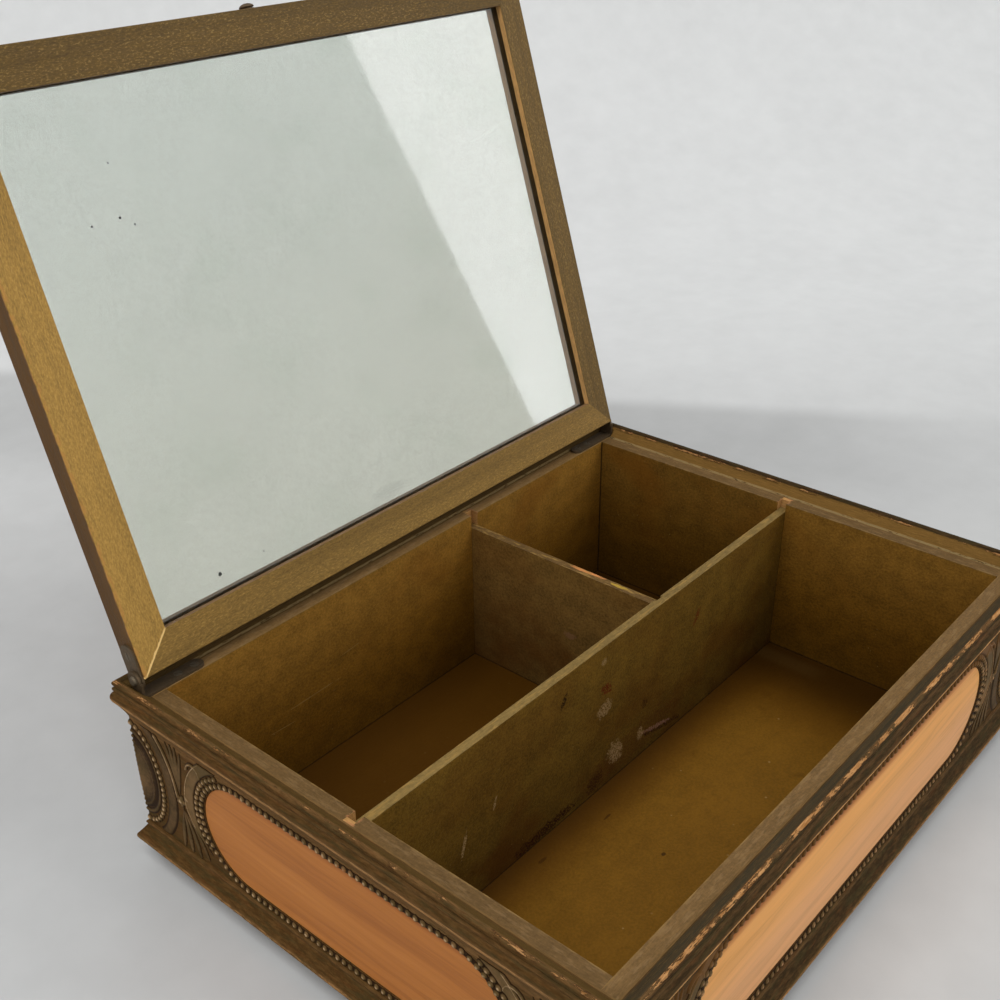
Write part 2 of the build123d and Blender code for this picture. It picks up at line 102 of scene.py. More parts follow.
# Each side of the box: the way outward, the way along, and where its inside face lies and ends
SIDES = {
    "front": Side((0, -1, 0), (1, 0, 0), INSIDE_WIDTH / 2, INSIDE_LENGTH / 2),
    "back": Side((0, 1, 0), (-1, 0, 0), INSIDE_WIDTH / 2, INSIDE_LENGTH / 2),
    "left": Side((-1, 0, 0), (0, -1, 0), INSIDE_LENGTH / 2, INSIDE_WIDTH / 2),
    "right": Side((1, 0, 0), (0, 1, 0), INSIDE_LENGTH / 2, INSIDE_WIDTH / 2),
}
FAR_SIDES = ("back", "right")


def linear(red, green, blue):
    """A colour seen on a screen, 0 to 255 each, as the light it stands for."""
    seen = np.array([red, green, blue]) / 255.0
    light = np.where(seen <= 0.04045, seen / 12.92, ((seen + 0.055) / 1.055) ** 2.4)
    return tuple(float(c) for c in light)


class BoxFinish(bpy.types.PropertyGroup):
    """Colours of the box's woods and metals."""

    moulding: FloatVectorProperty(name="Moulding", description="Rubbed stain on the moulded walls",
                                  subtype="COLOR", size=3, default=linear(123, 91, 56))
    bare_wood: FloatVectorProperty(name="Bare wood", description="Wood where the stain has worn off",
                                   subtype="COLOR", size=3, default=linear(200, 150, 98))
    inside: FloatVectorProperty(name="Inside", description="Golden brown stain of the inside boards",
                                subtype="COLOR", size=3, default=linear(104, 69, 14))
    rim: FloatVectorProperty(name="Rim", description="Rubbed top edge of the inside boards",
                             subtype="COLOR", size=3, default=linear(106, 81, 48))
    lid: FloatVectorProperty(name="Lid", description="Bronzed stain of the lid's frame",
                             subtype="COLOR", size=3, default=linear(160, 124, 60))
    cedar: FloatVectorProperty(name="Cedar", description="Oiled cedar of the panels",
                               subtype="COLOR", size=3, default=linear(196, 126, 60))
    iron: FloatVectorProperty(name="Iron", description="Blackened steel of the hinges and the knob",
                              subtype="COLOR", size=3, default=linear(92, 75, 53))


class BoxOrnament(bpy.types.PropertyGroup):
    """Sizes of the beads and the carving."""

    bead_pitch: FloatProperty(name="Bead spacing", description="Distance from bead to bead along a border",
                              unit="LENGTH", default=2.95 * MM, min=0.001)
    bead_radius: FloatProperty(name="Bead radius", description="Half of a bead's width",
                               unit="LENGTH", default=1.2 * MM, min=0.0002)
    relief_step: FloatProperty(name="Carving step", description="Grid spacing of the carved relief",
                               unit="LENGTH", default=0.28 * MM, min=0.0001)


class BoxStage(bpy.types.PropertyGroup):
    """Floor, light and camera."""

    floor: FloatVectorProperty(name="Floor", description="Colour of the floor and the backdrop",
                               subtype="COLOR", size=3, default=(0.598, 0.604, 0.606))
    key_power: FloatProperty(name="Window light", description="Power of the large soft light",
                             unit="POWER", default=7.5, min=0.0)
    room_light: FloatProperty(name="Room light", description="Strength of the light from all round",
                              default=0.56, min=0.0)
    lens: FloatProperty(name="Lens", description="Focal length of the camera",
                        subtype="DISTANCE_CAMERA", default=44.51, min=1.0)


class Wire:
    """A socket in a shader expression; the operators add Math nodes."""

    def __init__(self, bench, socket):
        self.bench = bench
        self.socket = socket

    def __add__(self, other):
        return self.bench.sum_up("ADD", self, other)

    def __radd__(self, other):
        return self.bench.sum_up("ADD", other, self)

    def __sub__(self, other):
        return self.bench.sum_up("SUBTRACT", self, other)

    def __rsub__(self, other):
        return self.bench.sum_up("SUBTRACT", other, self)

    def __mul__(self, other):
        return self.bench.sum_up("MULTIPLY", self, other)

    def __rmul__(self, other):
        return self.bench.sum_up("MULTIPLY", other, self)

    def __truediv__(self, other):
        return self.bench.sum_up("DIVIDE", self, other)

    def __rtruediv__(self, other):
        return self.bench.sum_up("DIVIDE", other, self)

    def __pow__(self, other):
        return self.bench.sum_up("POWER", self, other)

    def __neg__(self):
        return self.bench.sum_up("MULTIPLY", self, -1.0)

    def __abs__(self):
        return self.bench.sum_up("ABSOLUTE", self, 0.0)


class Bench:
    """A material being made: its tree, its Principled shader and the point in millimetres."""

    def __init__(self, name, **constants):
        self.material = bpy.data.materials.new(name)
        self.material.use_nodes = True
        self.tree = self.material.node_tree
        self.tree.nodes.clear()
        self.output = self.tree.nodes.new("ShaderNodeOutputMaterial")
        self.shader = self.tree.nodes.new("ShaderNodeBsdfPrincipled")
        self.tree.links.new(self.shader.outputs[0], self.output.inputs["Surface"])
        for socket, value in constants.items():
            self.shader.inputs[socket.replace("_", " ")].default_value = value
        place = self.node("ShaderNodeTexCoord", out="Object")
        split = self.tree.nodes.new("ShaderNodeSeparateXYZ")
        self.tree.links.new(place.socket, split.inputs[0])
        self.x, self.y, self.z = (Wire(self, split.outputs[i]) * 1000.0 for i in range(3))

    def node(self, kind, settings=None, sockets=None, out=0):
        """Add a node: its settings first, then the values or links of its sockets."""
        node = self.tree.nodes.new(kind)
        for name, value in (settings or {}).items():
            if name == "stops":
                stops = node.color_ramp.elements
                stops[0].position, stops[1].position = value[0][0], value[-1][0]
                for element, (position, colour) in zip(
                        [stops[0], *(stops.new(position) for position, _ in value[1:-1])], value[:-1]):
                    element.color = (*colour, 1.0)
                stops[len(value) - 1].color = (*value[-1][1], 1.0)
            else:
                setattr(node, name, value)
        for name, value in (sockets or {}).items():
            if isinstance(value, Wire):
                self.tree.links.new(value.socket, node.inputs[name])
            elif isinstance(value, tuple) and len(value) == 3 and node.inputs[name].type == "RGBA":
                node.inputs[name].default_value = (*value, 1.0)
            else:
                node.inputs[name].default_value = value
        return Wire(self, node.outputs[out])

    def sum_up(self, operation, first, second):
        """One Math node."""
        return self.node("ShaderNodeMath", {"operation": operation}, {0: first, 1: second})

    def most(self, first, second):
        """The larger of two values."""
        return self.sum_up("MAXIMUM", first, second)

    def rise(self, value, low, high, to_low=0.0, to_high=1.0):
        """A smooth step from one value to another as the input goes from low to high."""
        return self.node("ShaderNodeMapRange", {"interpolation_type": "SMOOTHSTEP"},
                         {0: value, 1: low, 2: high, 3: to_low, 4: to_high})

    def near(self, value, middle, half, soft):
        """One within half of the middle, falling to nothing over a soft edge."""
        return 1.0 - self.rise(abs(value - middle), half, half + soft)

    def point(self, x, y, z):
        """Three values as one point."""
        return self.node("ShaderNodeCombineXYZ", None, {0: x, 1: y, 2: z})

    def clouds(self, x, y, z, scale=1.0, detail=3.0, rough=0.55):
        """Noise at a point, about 0.5 on average."""
        return self.node("ShaderNodeTexNoise", None, {"Vector": self.point(x, y, z), "Scale": scale,
                                                      "Detail": detail, "Roughness": rough})

    def spots(self, x, y, z, scale):
        """Distance to the nearest of many scattered dots."""
        return self.node("ShaderNodeTexVoronoi", None, {"Vector": self.point(x, y, z), "Scale": scale})

    def blend(self, factor, first, second, how="MIX"):
        """Mix two colours."""
        settings = {"data_type": "RGBA", "blend_type": how}
        sockets = {0: factor, 6: first, 7: second}
        return self.node("ShaderNodeMix", settings, sockets, out=2)

    def tone(self, colour, factor):
        """Multiply a colour by a value."""
        grey = self.node("ShaderNodeCombineColor", None, {0: factor, 1: factor, 2: factor})
        return self.blend(1.0, colour, grey, "MULTIPLY")

    def finish(self, colour, roughness=None, height=None, depth=0.1, strength=1.0, **others):
        """Feed the shader: colour, roughness, and a height in millimetres as a bump."""
        feeds = {"Base Color": colour, "Roughness": roughness}
        feeds.update({name.replace("_", " "): value for name, value in others.items()})
        for name, value in feeds.items():
            if isinstance(value, Wire):
                self.tree.links.new(value.socket, self.shader.inputs[name])
            elif isinstance(value, tuple):
                self.shader.inputs[name].default_value = (*value, 1.0)
            elif value is not None:
                self.shader.inputs[name].default_value = value
        if height is not None:
            bump = self.node("ShaderNodeBump", None,
                             {"Strength": strength, "Distance": depth * MM, "Height": height})
            self.tree.links.new(bump.socket, self.shader.inputs["Normal"])
        return self.material


def wood_grain(bench, along, across, deep, figure=1.0):
    """Slow figure and fine fibres of a board, each 0 to 1, from the run, the width and the depth in mm."""
    bend = bench.clouds(along * 0.01, across * 0.03, deep * 0.03, detail=1.0) * 12.0
    bands = bench.clouds(along * 0.007, (across + bend) * 0.1 * figure, deep * 0.1, detail=3.0)
    fibres = bench.clouds(along * 0.22, across * 1.7, deep * 1.7, detail=3.0, rough=0.75)
    return bench.rise(bands, 0.25, 0.75), bench.rise(fibres, 0.3, 0.7)


def side_place(bench, name):
    """Reach outward, run along and height from the rim on a side, in mm."""
    reach = {"front": -bench.y, "back": bench.y, "left": -bench.x, "right": bench.x}[name]
    along = bench.x if name in ("front", "back") else bench.y
    return reach - SIDES[name].distance, along, bench.z - RIM


def blot(bench, along, across, middle, half, ragged, turn=0.0):
    """A mark with ragged edges: an oval by its middle, its two half widths and its turn in radians.

    The squares of the two ways over the half widths add up to one on the oval; noise shifts that sum.
    """
    over, up = along - middle[0], across - middle[1]
    long_way = (over * cos(turn) + up * sin(turn)) / half[0]
    short_way = (up * cos(turn) - over * sin(turn)) / half[1]
    torn = long_way * long_way + short_way * short_way + (ragged - 0.5) * 5.0
    return 1.0 - bench.rise(torn, 0.6, 1.1)


def grid_faces(rows, columns, wrap_rows=False, wrap_columns=False):
    """Quads between neighbouring points of a grid, rows by columns, as one array."""
    down = np.arange(rows if wrap_rows else rows - 1)
    over = np.arange(columns if wrap_columns else columns - 1)
    row, column = np.meshgrid(down, over, indexing="ij")
    next_row, next_column = (row + 1) % rows, (column + 1) % columns
    corners = [(row, column), (next_row, column), (next_row, next_column), (row, next_column)]
    return np.stack([i * columns + j for i, j in corners], -1).reshape(-1, 4)


def make_piece(name, points, faces, material, body, smooth=True):
    """A mesh object from points in millimetres and lists of faces, riding on a body."""
    mesh = bpy.data.meshes.new(name)
    mesh.from_pydata((np.asarray(points) * MM).tolist(), [], [list(map(int, f)) for f in faces])
    mesh.validate()
    mesh.polygons.foreach_set("use_smooth", np.full(len(mesh.polygons), smooth))
    mesh.materials.append(material)
    mesh.update()
    piece = bpy.data.objects.new(name, mesh)
    bpy.context.scene.collection.objects.link(piece)
    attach(piece, body)
    return piece


def dress(nodes, material):
    """Give a finish to nodes of the frame."""
    for name in nodes:
        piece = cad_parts[name]
        piece.data.materials.clear()
        piece.data.materials.append(material)


def side_point(name, along, height, reach):
    """Points on a side from the run along it, the height from the rim and the reach outward, in mm."""
    side = SIDES[name]
    along, height, reach = np.broadcast_arrays(along, height, reach)
    return (np.asarray(side.outward) * (side.distance + reach)[..., None]
            + np.asarray(side.run) * along[..., None] + np.array([0, 0, 1]) * (RIM + height)[..., None])


def lid_point(along, up, out):
    """Points on the lid from the run along the hinge, the way up from it and out of the mirror side."""
    along, up, out = np.broadcast_arrays(along, up, out)
    return (PIVOT + np.array([1.0, 0, 0]) * along[..., None]
            + LID_UP * up[..., None] + LID_OUT * out[..., None])


def racetrack(half_straight, radius, turn):
    """Points and outward directions of a line of two straights and two half circles.

    turn runs 0 to 1 once round from the lower straight's start: on a straight the point moves
    along it, and on an end it turns about the end's centre.
    """
    straight, bend = 2 * half_straight, pi * radius
    way = np.mod(turn, 1.0) * (2 * straight + 2 * bend)
    spans = [way < straight, way < straight + bend, way < 2 * straight + bend]
    angle = np.select(spans, [np.full_like(way, -pi / 2), -pi / 2 + (way - straight) / radius,
                              np.full_like(way, pi / 2)], pi / 2 + (way - 2 * straight - bend) / radius)
    centre = np.select(spans, [way - half_straight, np.full_like(way, half_straight),
                               half_straight - (way - straight - bend)], -half_straight)
    outward = np.stack([np.cos(angle), np.sin(angle)], -1)
    return np.stack([centre, np.zeros_like(way)], -1) + radius * outward, outward


# Section of a border's band: places across it as shares of the half width, and heights in mm
BAND_ACROSS = (-1.0, -1.0, -0.8, -0.45, 0.0, 0.45, 0.8, 1.0, 1.0)
BAND_HEIGHT = (-0.12, 0.06, 0.12, 0.14, 0.15, 0.14, 0.12, 0.06, -0.12)
BAND_STEP = 0.65

# A bead: sides of its rings, the rings' angles up from its foot, its half width along and across the band
# over its radius, and the seed of the beads' small differences
BEAD_SIDES = 8
BEAD_RINGS = (0.0, 0.42, 0.85, 1.22)
BEAD_ALONG = 0.97
BEAD_ACROSS = 1.2
BEAD_SEED = 7


def bead_border(place, half_straight, radius, width, rise, sizes):
    """A racetrack band with beads on it.

    The band is a low cushion swept round the racetrack: across it, the height is a shallow arch.
    Each bead is half an egg, longer across the band: rings of points, each ring's reach being the
    cosine of its angle and its height the sine.
    """
    length = 4 * half_straight + 2 * pi * radius
    around = 4 * int(length / (4 * BAND_STEP))
    line, outward = racetrack(half_straight, radius, np.arange(around) / around)
    across = np.array(BAND_ACROSS) * width / 2
    flat = line[:, None, :] + outward[:, None, :] * across[None, :, None]
    band = place(flat[..., 0], flat[..., 1], np.broadcast_to(BAND_HEIGHT, flat.shape[:2])).reshape(-1, 3)
    band_faces = grid_faces(around, len(across), wrap_rows=True, wrap_columns=True)[:, ::-1]
    count = int(round(length / (sizes.bead_pitch / MM)))
    middle, out = racetrack(half_straight, radius, (np.arange(count) + 0.5) / count)
    seeds = np.random.default_rng(BEAD_SEED)
    reach = sizes.bead_radius / MM * seeds.uniform(0.93, 1.04, count)
    tall = (rise - 0.05) * seeds.uniform(0.9, 1.0, count)
    ring = np.array(BEAD_RINGS)
    turn = np.arange(BEAD_SIDES) * 2 * pi / BEAD_SIDES
    spread = np.cos(ring)[:, None]
    forward = np.stack([-out[:, 1], out[:, 0]], -1)
    local = (forward[:, None, None, :] * (spread * np.cos(turn))[None, ..., None] * BEAD_ALONG
             + out[:, None, None, :] * (spread * np.sin(turn))[None, ..., None] * BEAD_ACROSS)
    flat = middle[:, None, None, :] + local * reach[:, None, None, None]
    lift = tall[:, None, None] * np.sin(ring)[None, :, None] * np.ones(BEAD_SIDES)
    domes = place(flat[..., 0], flat[..., 1], lift).reshape(count, -1, 3)
    tops = place(middle[:, 0], middle[:, 1], tall)[:, None, :]
    beads = np.concatenate([domes, tops], 1)
    start = len(band) + np.arange(count)[:, None, None] * beads.shape[1]
    shells = (grid_faces(len(ring), BEAD_SIDES, wrap_columns=True)[None] + start).reshape(-1, 4)
    side, top = np.arange(BEAD_SIDES), len(ring) * BEAD_SIDES
    last = top - BEAD_SIDES
    caps = np.stack([last + side, np.full(BEAD_SIDES, top), last + (side + 1) % BEAD_SIDES], -1)[None] + start
    feet = side[None, :] + start[:, :, 0]
    return (np.concatenate([band, beads.reshape(-1, 3)]),
            [*band_faces, *shells, *caps.reshape(-1, 3), *feet])


# Colours that several woods share: painted shade for the crevices, and light dust
CREVICE_SHADE = linear(24, 14, 6)
DUST = linear(150, 124, 76)

# Chips: half width where there are none, softness of their edge, and how fast they widen with the noise
NO_CHIP = -0.25
CHIP_EDGE = 0.14
CHIP_RAMP = 0.07


def chips(bench, reach, height, along, line, half, seed, threshold):
    """Stain chipped off along an arris: an uneven width round the line, nothing where the noise is low."""
    away = ((reach - line[0]) ** 2.0 + (height - line[1]) ** 2.0) ** 0.5
    stretch = bench.clouds(along * 0.09, seed, 0.0, detail=2.0)
    ragged = bench.clouds(along * 0.38, reach * 1.9 + seed, height * 1.9, detail=5.0, rough=0.7)
    width = bench.rise(stretch * 0.5 + ragged * 0.5, threshold, threshold + CHIP_RAMP, NO_CHIP, half)
    return 1.0 - bench.rise(away, width, width + CHIP_EDGE)


# Share of the stain that is rubbed away at heights from the rim, in mm: base, cove, roll, ridge and lip; the
# table also holds painted light and shade, paler where the profile catches light and darker in the hollows
# that it shades
RUBBED_AND_LIT = (
    (-67.8, 0.05), (-67.0, 0.5), (-66.4, 1.0), (-65.8, 0.95), (-65.2, 0.35), (-64.4, 0.1), (-62.4, 0.06),
    (-61.2, 0.05), (-60.5, 0.35), (-59.3, 0.42), (-58.5, 0.15), (-12.0, 0.42), (-8.0, 0.42), (-5.5, 0.5),
    (-4.7, 1.0), (-2.6, 0.85), (-1.9, 0.22), (-1.1, 0.08), (-0.3, 0.02), (0.5, 0.4), (1.4, 0.38),
    (2.4, 0.08), (3.9, 0.06), (4.5, 0.4), (4.8, 0.5))

# Heights on the moulding, and the lines that its chips follow as reach and height
COVE = -9.0
ROLL_UNDERSIDE = -3.8
BASE_EDGE = -66.2
ROLL_LINE = (13.75, -3.2)
BASE_LINE = (14.5, BASE_EDGE)
NEAR_LIP = (12.0, 4.8)
FAR_LIP = (9.9, 3.7)

# Each wall's own look: slope inside the lip and the reach where its stain ends, stain in the hollows,
# brightness of the rubbed stain, share rubbed away in the cove and its brightness, which also hold painted
# light and shade, the front's cove darkest where the roll shades it, brightness of the worn line under the
# roll, raised as painted light on its downward face, line, half width and threshold of the chips, and place
# in the noise
WallLook = namedtuple("WallLook", ("slope", "brow", "stain", "brightness", "cove_share", "cove_tone",
                                   "line_tone", "lip", "chip", "chipping", "seed"))
WALL_LOOKS = {
    "front": WallLook(linear(72, 60, 42), 10.9, linear(60, 45, 25), 1.0, 0.4, 1.0, 4.0,
                      NEAR_LIP, 0.68, 0.46, 3.1),
    "back": WallLook(linear(84, 64, 34), 9.8, linear(70, 50, 26), 0.95, 0.8, 1.0, 1.5,
                     FAR_LIP, 0.3, 0.53, 17.0),
    "left": WallLook(linear(84, 63, 31), 10.9, linear(80, 56, 27), 0.87, 1.6, 1.3, 1.6,
                     NEAR_LIP, 0.54, 0.52, 29.4),
    "right": WallLook(linear(108, 80, 39), 9.8, linear(54, 42, 25), 0.9, 0.8, 1.0, 1.5,
                      FAR_LIP, 0.3, 0.5, 41.7),
}

# Colours in a moulding's stain: where it turns olive, where brown, the front's slate, the gold of its
# fibres, the worn line of the far sides, and the dark fringe and the fresh wood of the chips
OLIVE = linear(62, 58, 34)
BROWN = linear(112, 68, 36)
SLATE = linear(46, 54, 46)
GOLD = linear(146, 112, 60)
STRAW = linear(160, 136, 92)
CHIP_FRINGE = linear(50, 26, 14)
CHIP_WOOD = linear(152, 104, 56)


def rubbed_and_lit_share(bench, name, look, height, ragged, bands, fibres, cove):
    """Share of the stain that is rubbed away, partly painted light and shade: the table by height, torn by
    noise and the grain.
    """
    lowest, span = RUBBED_AND_LIT[0][0], RUBBED_AND_LIT[-1][0] - RUBBED_AND_LIT[0][0]
    stops = [((place - lowest) / span, (share,) * 3) for place, share in RUBBED_AND_LIT]
    rubbed = bench.node("ShaderNodeValToRGB", {"stops": stops}, {0: (height - lowest) / span})
    if name in FAR_SIDES:
        rubbed = rubbed * bench.rise(height, 3.6, 4.4, 1.0, 0.15)
    rubbed = rubbed * (1.0 + (look.cove_share - 1.0) * cove)
    return rubbed * (0.1 + 1.8 * ragged) + 0.2 * (fibres - 0.5) + 0.1 * (bands - 0.5)


def moulding_finish(name, finish):
    """Dark stained moulding of a side: dark in the hollows and rubbed on the high places, partly as painted
    shade and painted light, and chipped on the lip.
    """
    bench = Bench("moulding_" + name, Specular_IOR_Level=0.03)
    reach, along, height = side_place(bench, name)
    bands, fibres = wood_grain(bench, along, height + reach, reach)
    look = WALL_LOOKS[name]
    seed = look.seed
    ragged = bench.clouds(along * 0.25, height * 1.3, reach * 1.3 + seed, detail=4.0, rough=0.7)
    broken = bench.clouds(along * 0.3, height * 2.0, seed, detail=4.0, rough=0.7)
    patch = bench.clouds(along * 0.07, height * 0.5, reach * 0.5 + seed, detail=4.0, rough=0.65)
    # Stain: rubbed on the high places, with worn lines under the roll and on the base's edge; partly painted
    # light
    # and shade: the cove darkened where the roll shades it, the line under the roll brightened though it
    # faces down
    cove = bench.near(height, COVE, 3.2, 0.8)
    rubbed = rubbed_and_lit_share(bench, name, look, height, ragged, bands, fibres, cove)
    worn = bench.tone(tuple(finish.moulding), look.brightness * (0.8 + 0.4 * fibres))
    under = bench.near(height, ROLL_UNDERSIDE, 0.9, 0.5) * bench.rise(reach, 12.8, 13.1)
    under = under * bench.rise(broken, 0.34, 0.5)
    edge = bench.near(height, BASE_EDGE, 0.7, 0.5) * bench.rise(broken, 0.42, 0.54)
    worn = bench.tone(worn, 1.0 + look.line_tone * under + 1.1 * edge + (look.cove_tone - 1.0) * cove)
    colour = bench.blend(rubbed, bench.tone(look.stain, 0.75 + 0.5 * fibres), worn)
    colour = bench.blend(bench.rise(patch, 0.5, 0.62) * 0.4, colour, OLIVE)
    colour = bench.blend(bench.rise(patch, 0.44, 0.34) * 0.25, colour, BROWN)
    # Slope inside the lip and the pale ledge, with a torn border between them
    torn = height + 1.1 * (ragged - 0.5)
    slope = 1.0 - bench.rise(reach + 0.8 * (ragged - 0.5), look.brow, look.brow + 0.4)
    slope = bench.rise(torn, 0.2, 0.6) * slope
    ledge = 1.0 - bench.rise(torn + bench.rise(reach, LEDGE - 0.3, LEDGE + 0.3) * 4.0, 0.1, 0.7)
    ledge = ledge * bench.rise(height, -0.3, -0.1)
    dark = bench.tone(look.slope, 0.7 + 0.3 * bands + 0.3 * fibres)
    if name == "front":
        dark = bench.blend(bench.rise(patch, 0.5, 0.6) * 0.35, dark, SLATE)
    gilt = bench.rise(fibres, 0.6, 0.95) * bench.rise(ragged, 0.45, 0.6)
    colour = bench.blend(slope, colour, bench.blend(gilt * 0.3, dark, GOLD))
    rim = bench.tone(tuple(finish.rim), 0.62 + 0.3 * bands + 0.45 * fibres)
    colour = bench.blend(ledge, colour, rim)
    if name in FAR_SIDES:
        pale = bench.near(reach, LEDGE + 0.15, 0.3, 0.2) * bench.rise(height, -0.2, 0.0)
        colour = bench.blend(pale * bench.rise(broken, 0.36, 0.5) * 0.6, colour, STRAW)
    # Chips down to the wood on the lip, the roll and the base, with a dark fringe on the lip
    fringe = chips(bench, reach, height, along, look.lip, 0.95, seed, look.chipping - 0.02)
    colour = bench.blend(fringe * 0.55, colour, CHIP_FRINGE)
    wear = chips(bench, reach, height, along, look.lip, look.chip, seed, look.chipping)
    for line, half, shift, rarer in ((ROLL_LINE, 0.45, 5, 0.02), (BASE_LINE, 0.65, 9, 0.03)):
        more = chips(bench, reach, height, along, line, half, seed + shift, look.chipping + rarer)
        wear = bench.most(wear, more)
    raw = bench.tone(bench.blend(fibres, CHIP_WOOD, tuple(finish.bare_wood)), look.brightness)
    colour = bench.blend(wear * 0.88, colour, raw)
    rough = 0.75 + 0.1 * wear + 0.14 * (fibres - 0.5)
    return bench.finish(colour, rough, fibres * 0.6 + ragged * 0.6 - wear * 0.9, depth=0.22, strength=0.6)


def mottled(bench, along, height, deep, bands, fibres):
    """Brightness of a stained inside board, about 1 on average: specks and soft patches, little grain."""
    speck = bench.clouds(along * 0.95, height * 0.95, deep * 0.95, detail=4.0, rough=0.75)
    patch = bench.clouds(along * 0.12, height * 0.12, deep * 0.12 + 3.0, detail=4.0, rough=0.65)
    return (0.5 + 0.14 * bands + 0.12 * fibres + 0.28 * bench.rise(patch, 0.32, 0.68)
            + 0.5 * bench.rise(speck, 0.32, 0.68))


def dust(bench, along, height, deep, scale=0.3):
    """Small light specks, 0 or 1."""
    dots = bench.spots(along, height, deep, scale)
    some = bench.clouds(along * 0.05, height * 0.05, deep * 0.05, detail=1.0)
    return (1.0 - bench.rise(dots, 0.05, 0.1)) * bench.rise(some, 0.5, 0.6)


# Painted light and shade: brightness of each inside board's face and of its top edge, by how much light each
# side gets
LINER_LIGHT_TONES = {"front": (1.0, 1.0), "back": (1.34, 1.5), "left": (1.13, 0.82), "right": (0.91, 0.8)}

# Light scratches on the back board: place along and down from the rim, half widths and turn
LINER_SCRATCHES = (((-62.0, -39.6), (14.0, 0.32), 0.02), ((-41.0, -29.0), (5.0, 0.3), 0.1),
                   ((-78.0, -46.0), (6.0, 0.25), -0.05))


def liner_finish(name, finish):
    """Inside board: golden brown stain with a slow figure, a rubbed top and bare wood in its slot."""
    bench = Bench("liner_" + name, Specular_IOR_Level=0.08)
    reach, along, height = side_place(bench, name)
    bands, fibres = wood_grain(bench, along, height, reach)
    # Each side's painted light and shade
    face_tone, top_tone = LINER_LIGHT_TONES[name]
    grain = mottled(bench, along, height, reach, bands, fibres)
    worn = bench.clouds(along * 0.14, reach * 0.6, 3.0, detail=4.0, rough=0.62)
    # Face: lighter towards the top and darker towards the floor as painted shade deep in the box, redder in
    # patches, dusty
    colour = bench.blend(bench.rise(height, -60.0, 2.0), tuple(finish.inside), linear(110, 78, 28))
    colour = bench.tone(colour, face_tone * grain)
    # Painted shade: the right board darker towards the back compartment and lighter towards the front
    if name == "right":
        colour = bench.tone(colour, bench.rise(along, -12.0, 12.0, 1.15, 0.8))
    warm = bench.clouds(along * 0.02, height * 0.03, reach, detail=2.0)
    colour = bench.blend(bench.rise(warm, 0.5, 0.75) * 0.4, colour, linear(104, 60, 8))
    # Painted shade: darker towards the floor
    colour = bench.tone(colour, bench.rise(height, FLOOR - 0.2, 2.0, 0.55, 1.3))
    colour = bench.blend(dust(bench, along, height, reach) * 0.4, colour, DUST)
    if name == "back":
        for middle, half, turn in LINER_SCRATCHES:
            scratch = blot(bench, along, height, middle, half, worn, turn)
            colour = bench.blend(scratch * 0.6, colour, linear(140, 108, 56))
    # Painted shade in the inside corners and along the foot, where the boards meet
    half_run = SIDES[name].half_run
    corner = bench.rise(abs(along), half_run - 0.7, half_run - 0.2)
    foot = 1.0 - bench.rise(height, FLOOR + 0.25, FLOOR + 1.0)
    colour = bench.blend(bench.most(corner, foot) * 0.75, colour, CREVICE_SHADE)
    # Top edge and the worn arris beside it
    top = bench.rise(height, -0.25, -0.08)
    rim = bench.tone(tuple(finish.rim), top_tone * (0.3 + 0.2 * bands + 0.3 * fibres + 0.5 * grain))
    rim = bench.blend(bench.rise(worn, 0.5, 0.64) * 0.3 * top_tone, rim, linear(146, 118, 82))
    colour = bench.blend(top, colour, rim)
    arris = 1.0 - bench.rise(reach - height + 0.6 * (worn - 0.5), 0.15, 0.6)
    colour = bench.blend(arris * bench.rise(worn, 0.4, 0.6) * 0.7, colour, linear(140, 110, 62))
    if name in SLOT_MIDDLES:
        middle = SLOT_MIDDLES[name]
        slot = bench.near(along, middle, SLOT_HALF, 0.03) * bench.rise(reach, 0.02, 0.06)
        colour = bench.blend(slot, colour, bench.tone(linear(178, 134, 80), 0.7 + 0.5 * fibres))
        chip = bench.near(along, middle, SLOT_HALF + 0.33, 0.5) * bench.rise(height, -1.2, -0.2)
        colour = bench.blend(chip * bench.rise(worn, 0.46, 0.55) * 0.7, colour, linear(164, 112, 74))
    rough = 0.5 + 0.2 * fibres + 0.1 * top
    return bench.finish(colour, rough, grain, depth=0.14, strength=0.6)


DARK_RED = linear(40, 5, 4)
RUST = linear(96, 30, 6)
PALE = linear(178, 148, 104)

# Marks on the long divider's front: place along and down from the rim, half widths, turn, strength, colour
DIVIDER_MARKS = (
    ((16.0, -62.0), (34.0, 8.0), 0.1, 0.45, linear(74, 30, 8)),
    ((-38.0, -68.5), (19.0, 2.6), 0.04, 0.95, DARK_RED),
    ((-8.0, -66.0), (5.0, 4.6), 0.5, 0.7, DARK_RED),
    ((36.0, -65.5), (15.0, 1.5), -0.22, 0.9, DARK_RED),
    ((33.0, -63.6), (11.0, 1.1), -0.24, 0.75, linear(150, 110, 92)),
    ((22.0, -60.5), (2.2, 3.4), 0.2, 0.55, PALE),
    ((5.0, -59.0), (4.6, 6.0), 0.6, 0.6, PALE),
    ((-3.0, -33.2), (4.6, 3.4), 0.3, 0.6, PALE),
    ((-2.0, -24.2), (3.4, 2.6), -0.4, 1.0, RUST),
    ((24.0, -46.5), (2.0, 2.8), 0.2, 0.7, DARK_RED),
    ((59.0, -23.0), (1.5, 4.2), -0.5, 0.75, RUST),
    ((-28.0, -14.6), (1.1, 3.6), -0.5, 1.0, linear(26, 10, 4)),
    ((-4.5, -10.5), (1.6, 1.8), 0.1, 0.5, PALE),
    ((-82.0, -43.0), (0.8, 6.0), -0.25, 0.7, PALE),
    ((-66.0, -36.0), (0.7, 2.6), -0.3, 0.6, PALE),
)

# Marks on the cross divider's top, an orange chip and a yellow painted glint: place along and across, half
# widths, strength, colour
CROSS_TOP_CHIP_AND_GLINT = (((35.0, 35.4), (9.0, 1.1), 0.85, linear(206, 134, 80)),
                   ((18.0, 34.6), (5.0, 0.8), 0.6, linear(196, 160, 60)))


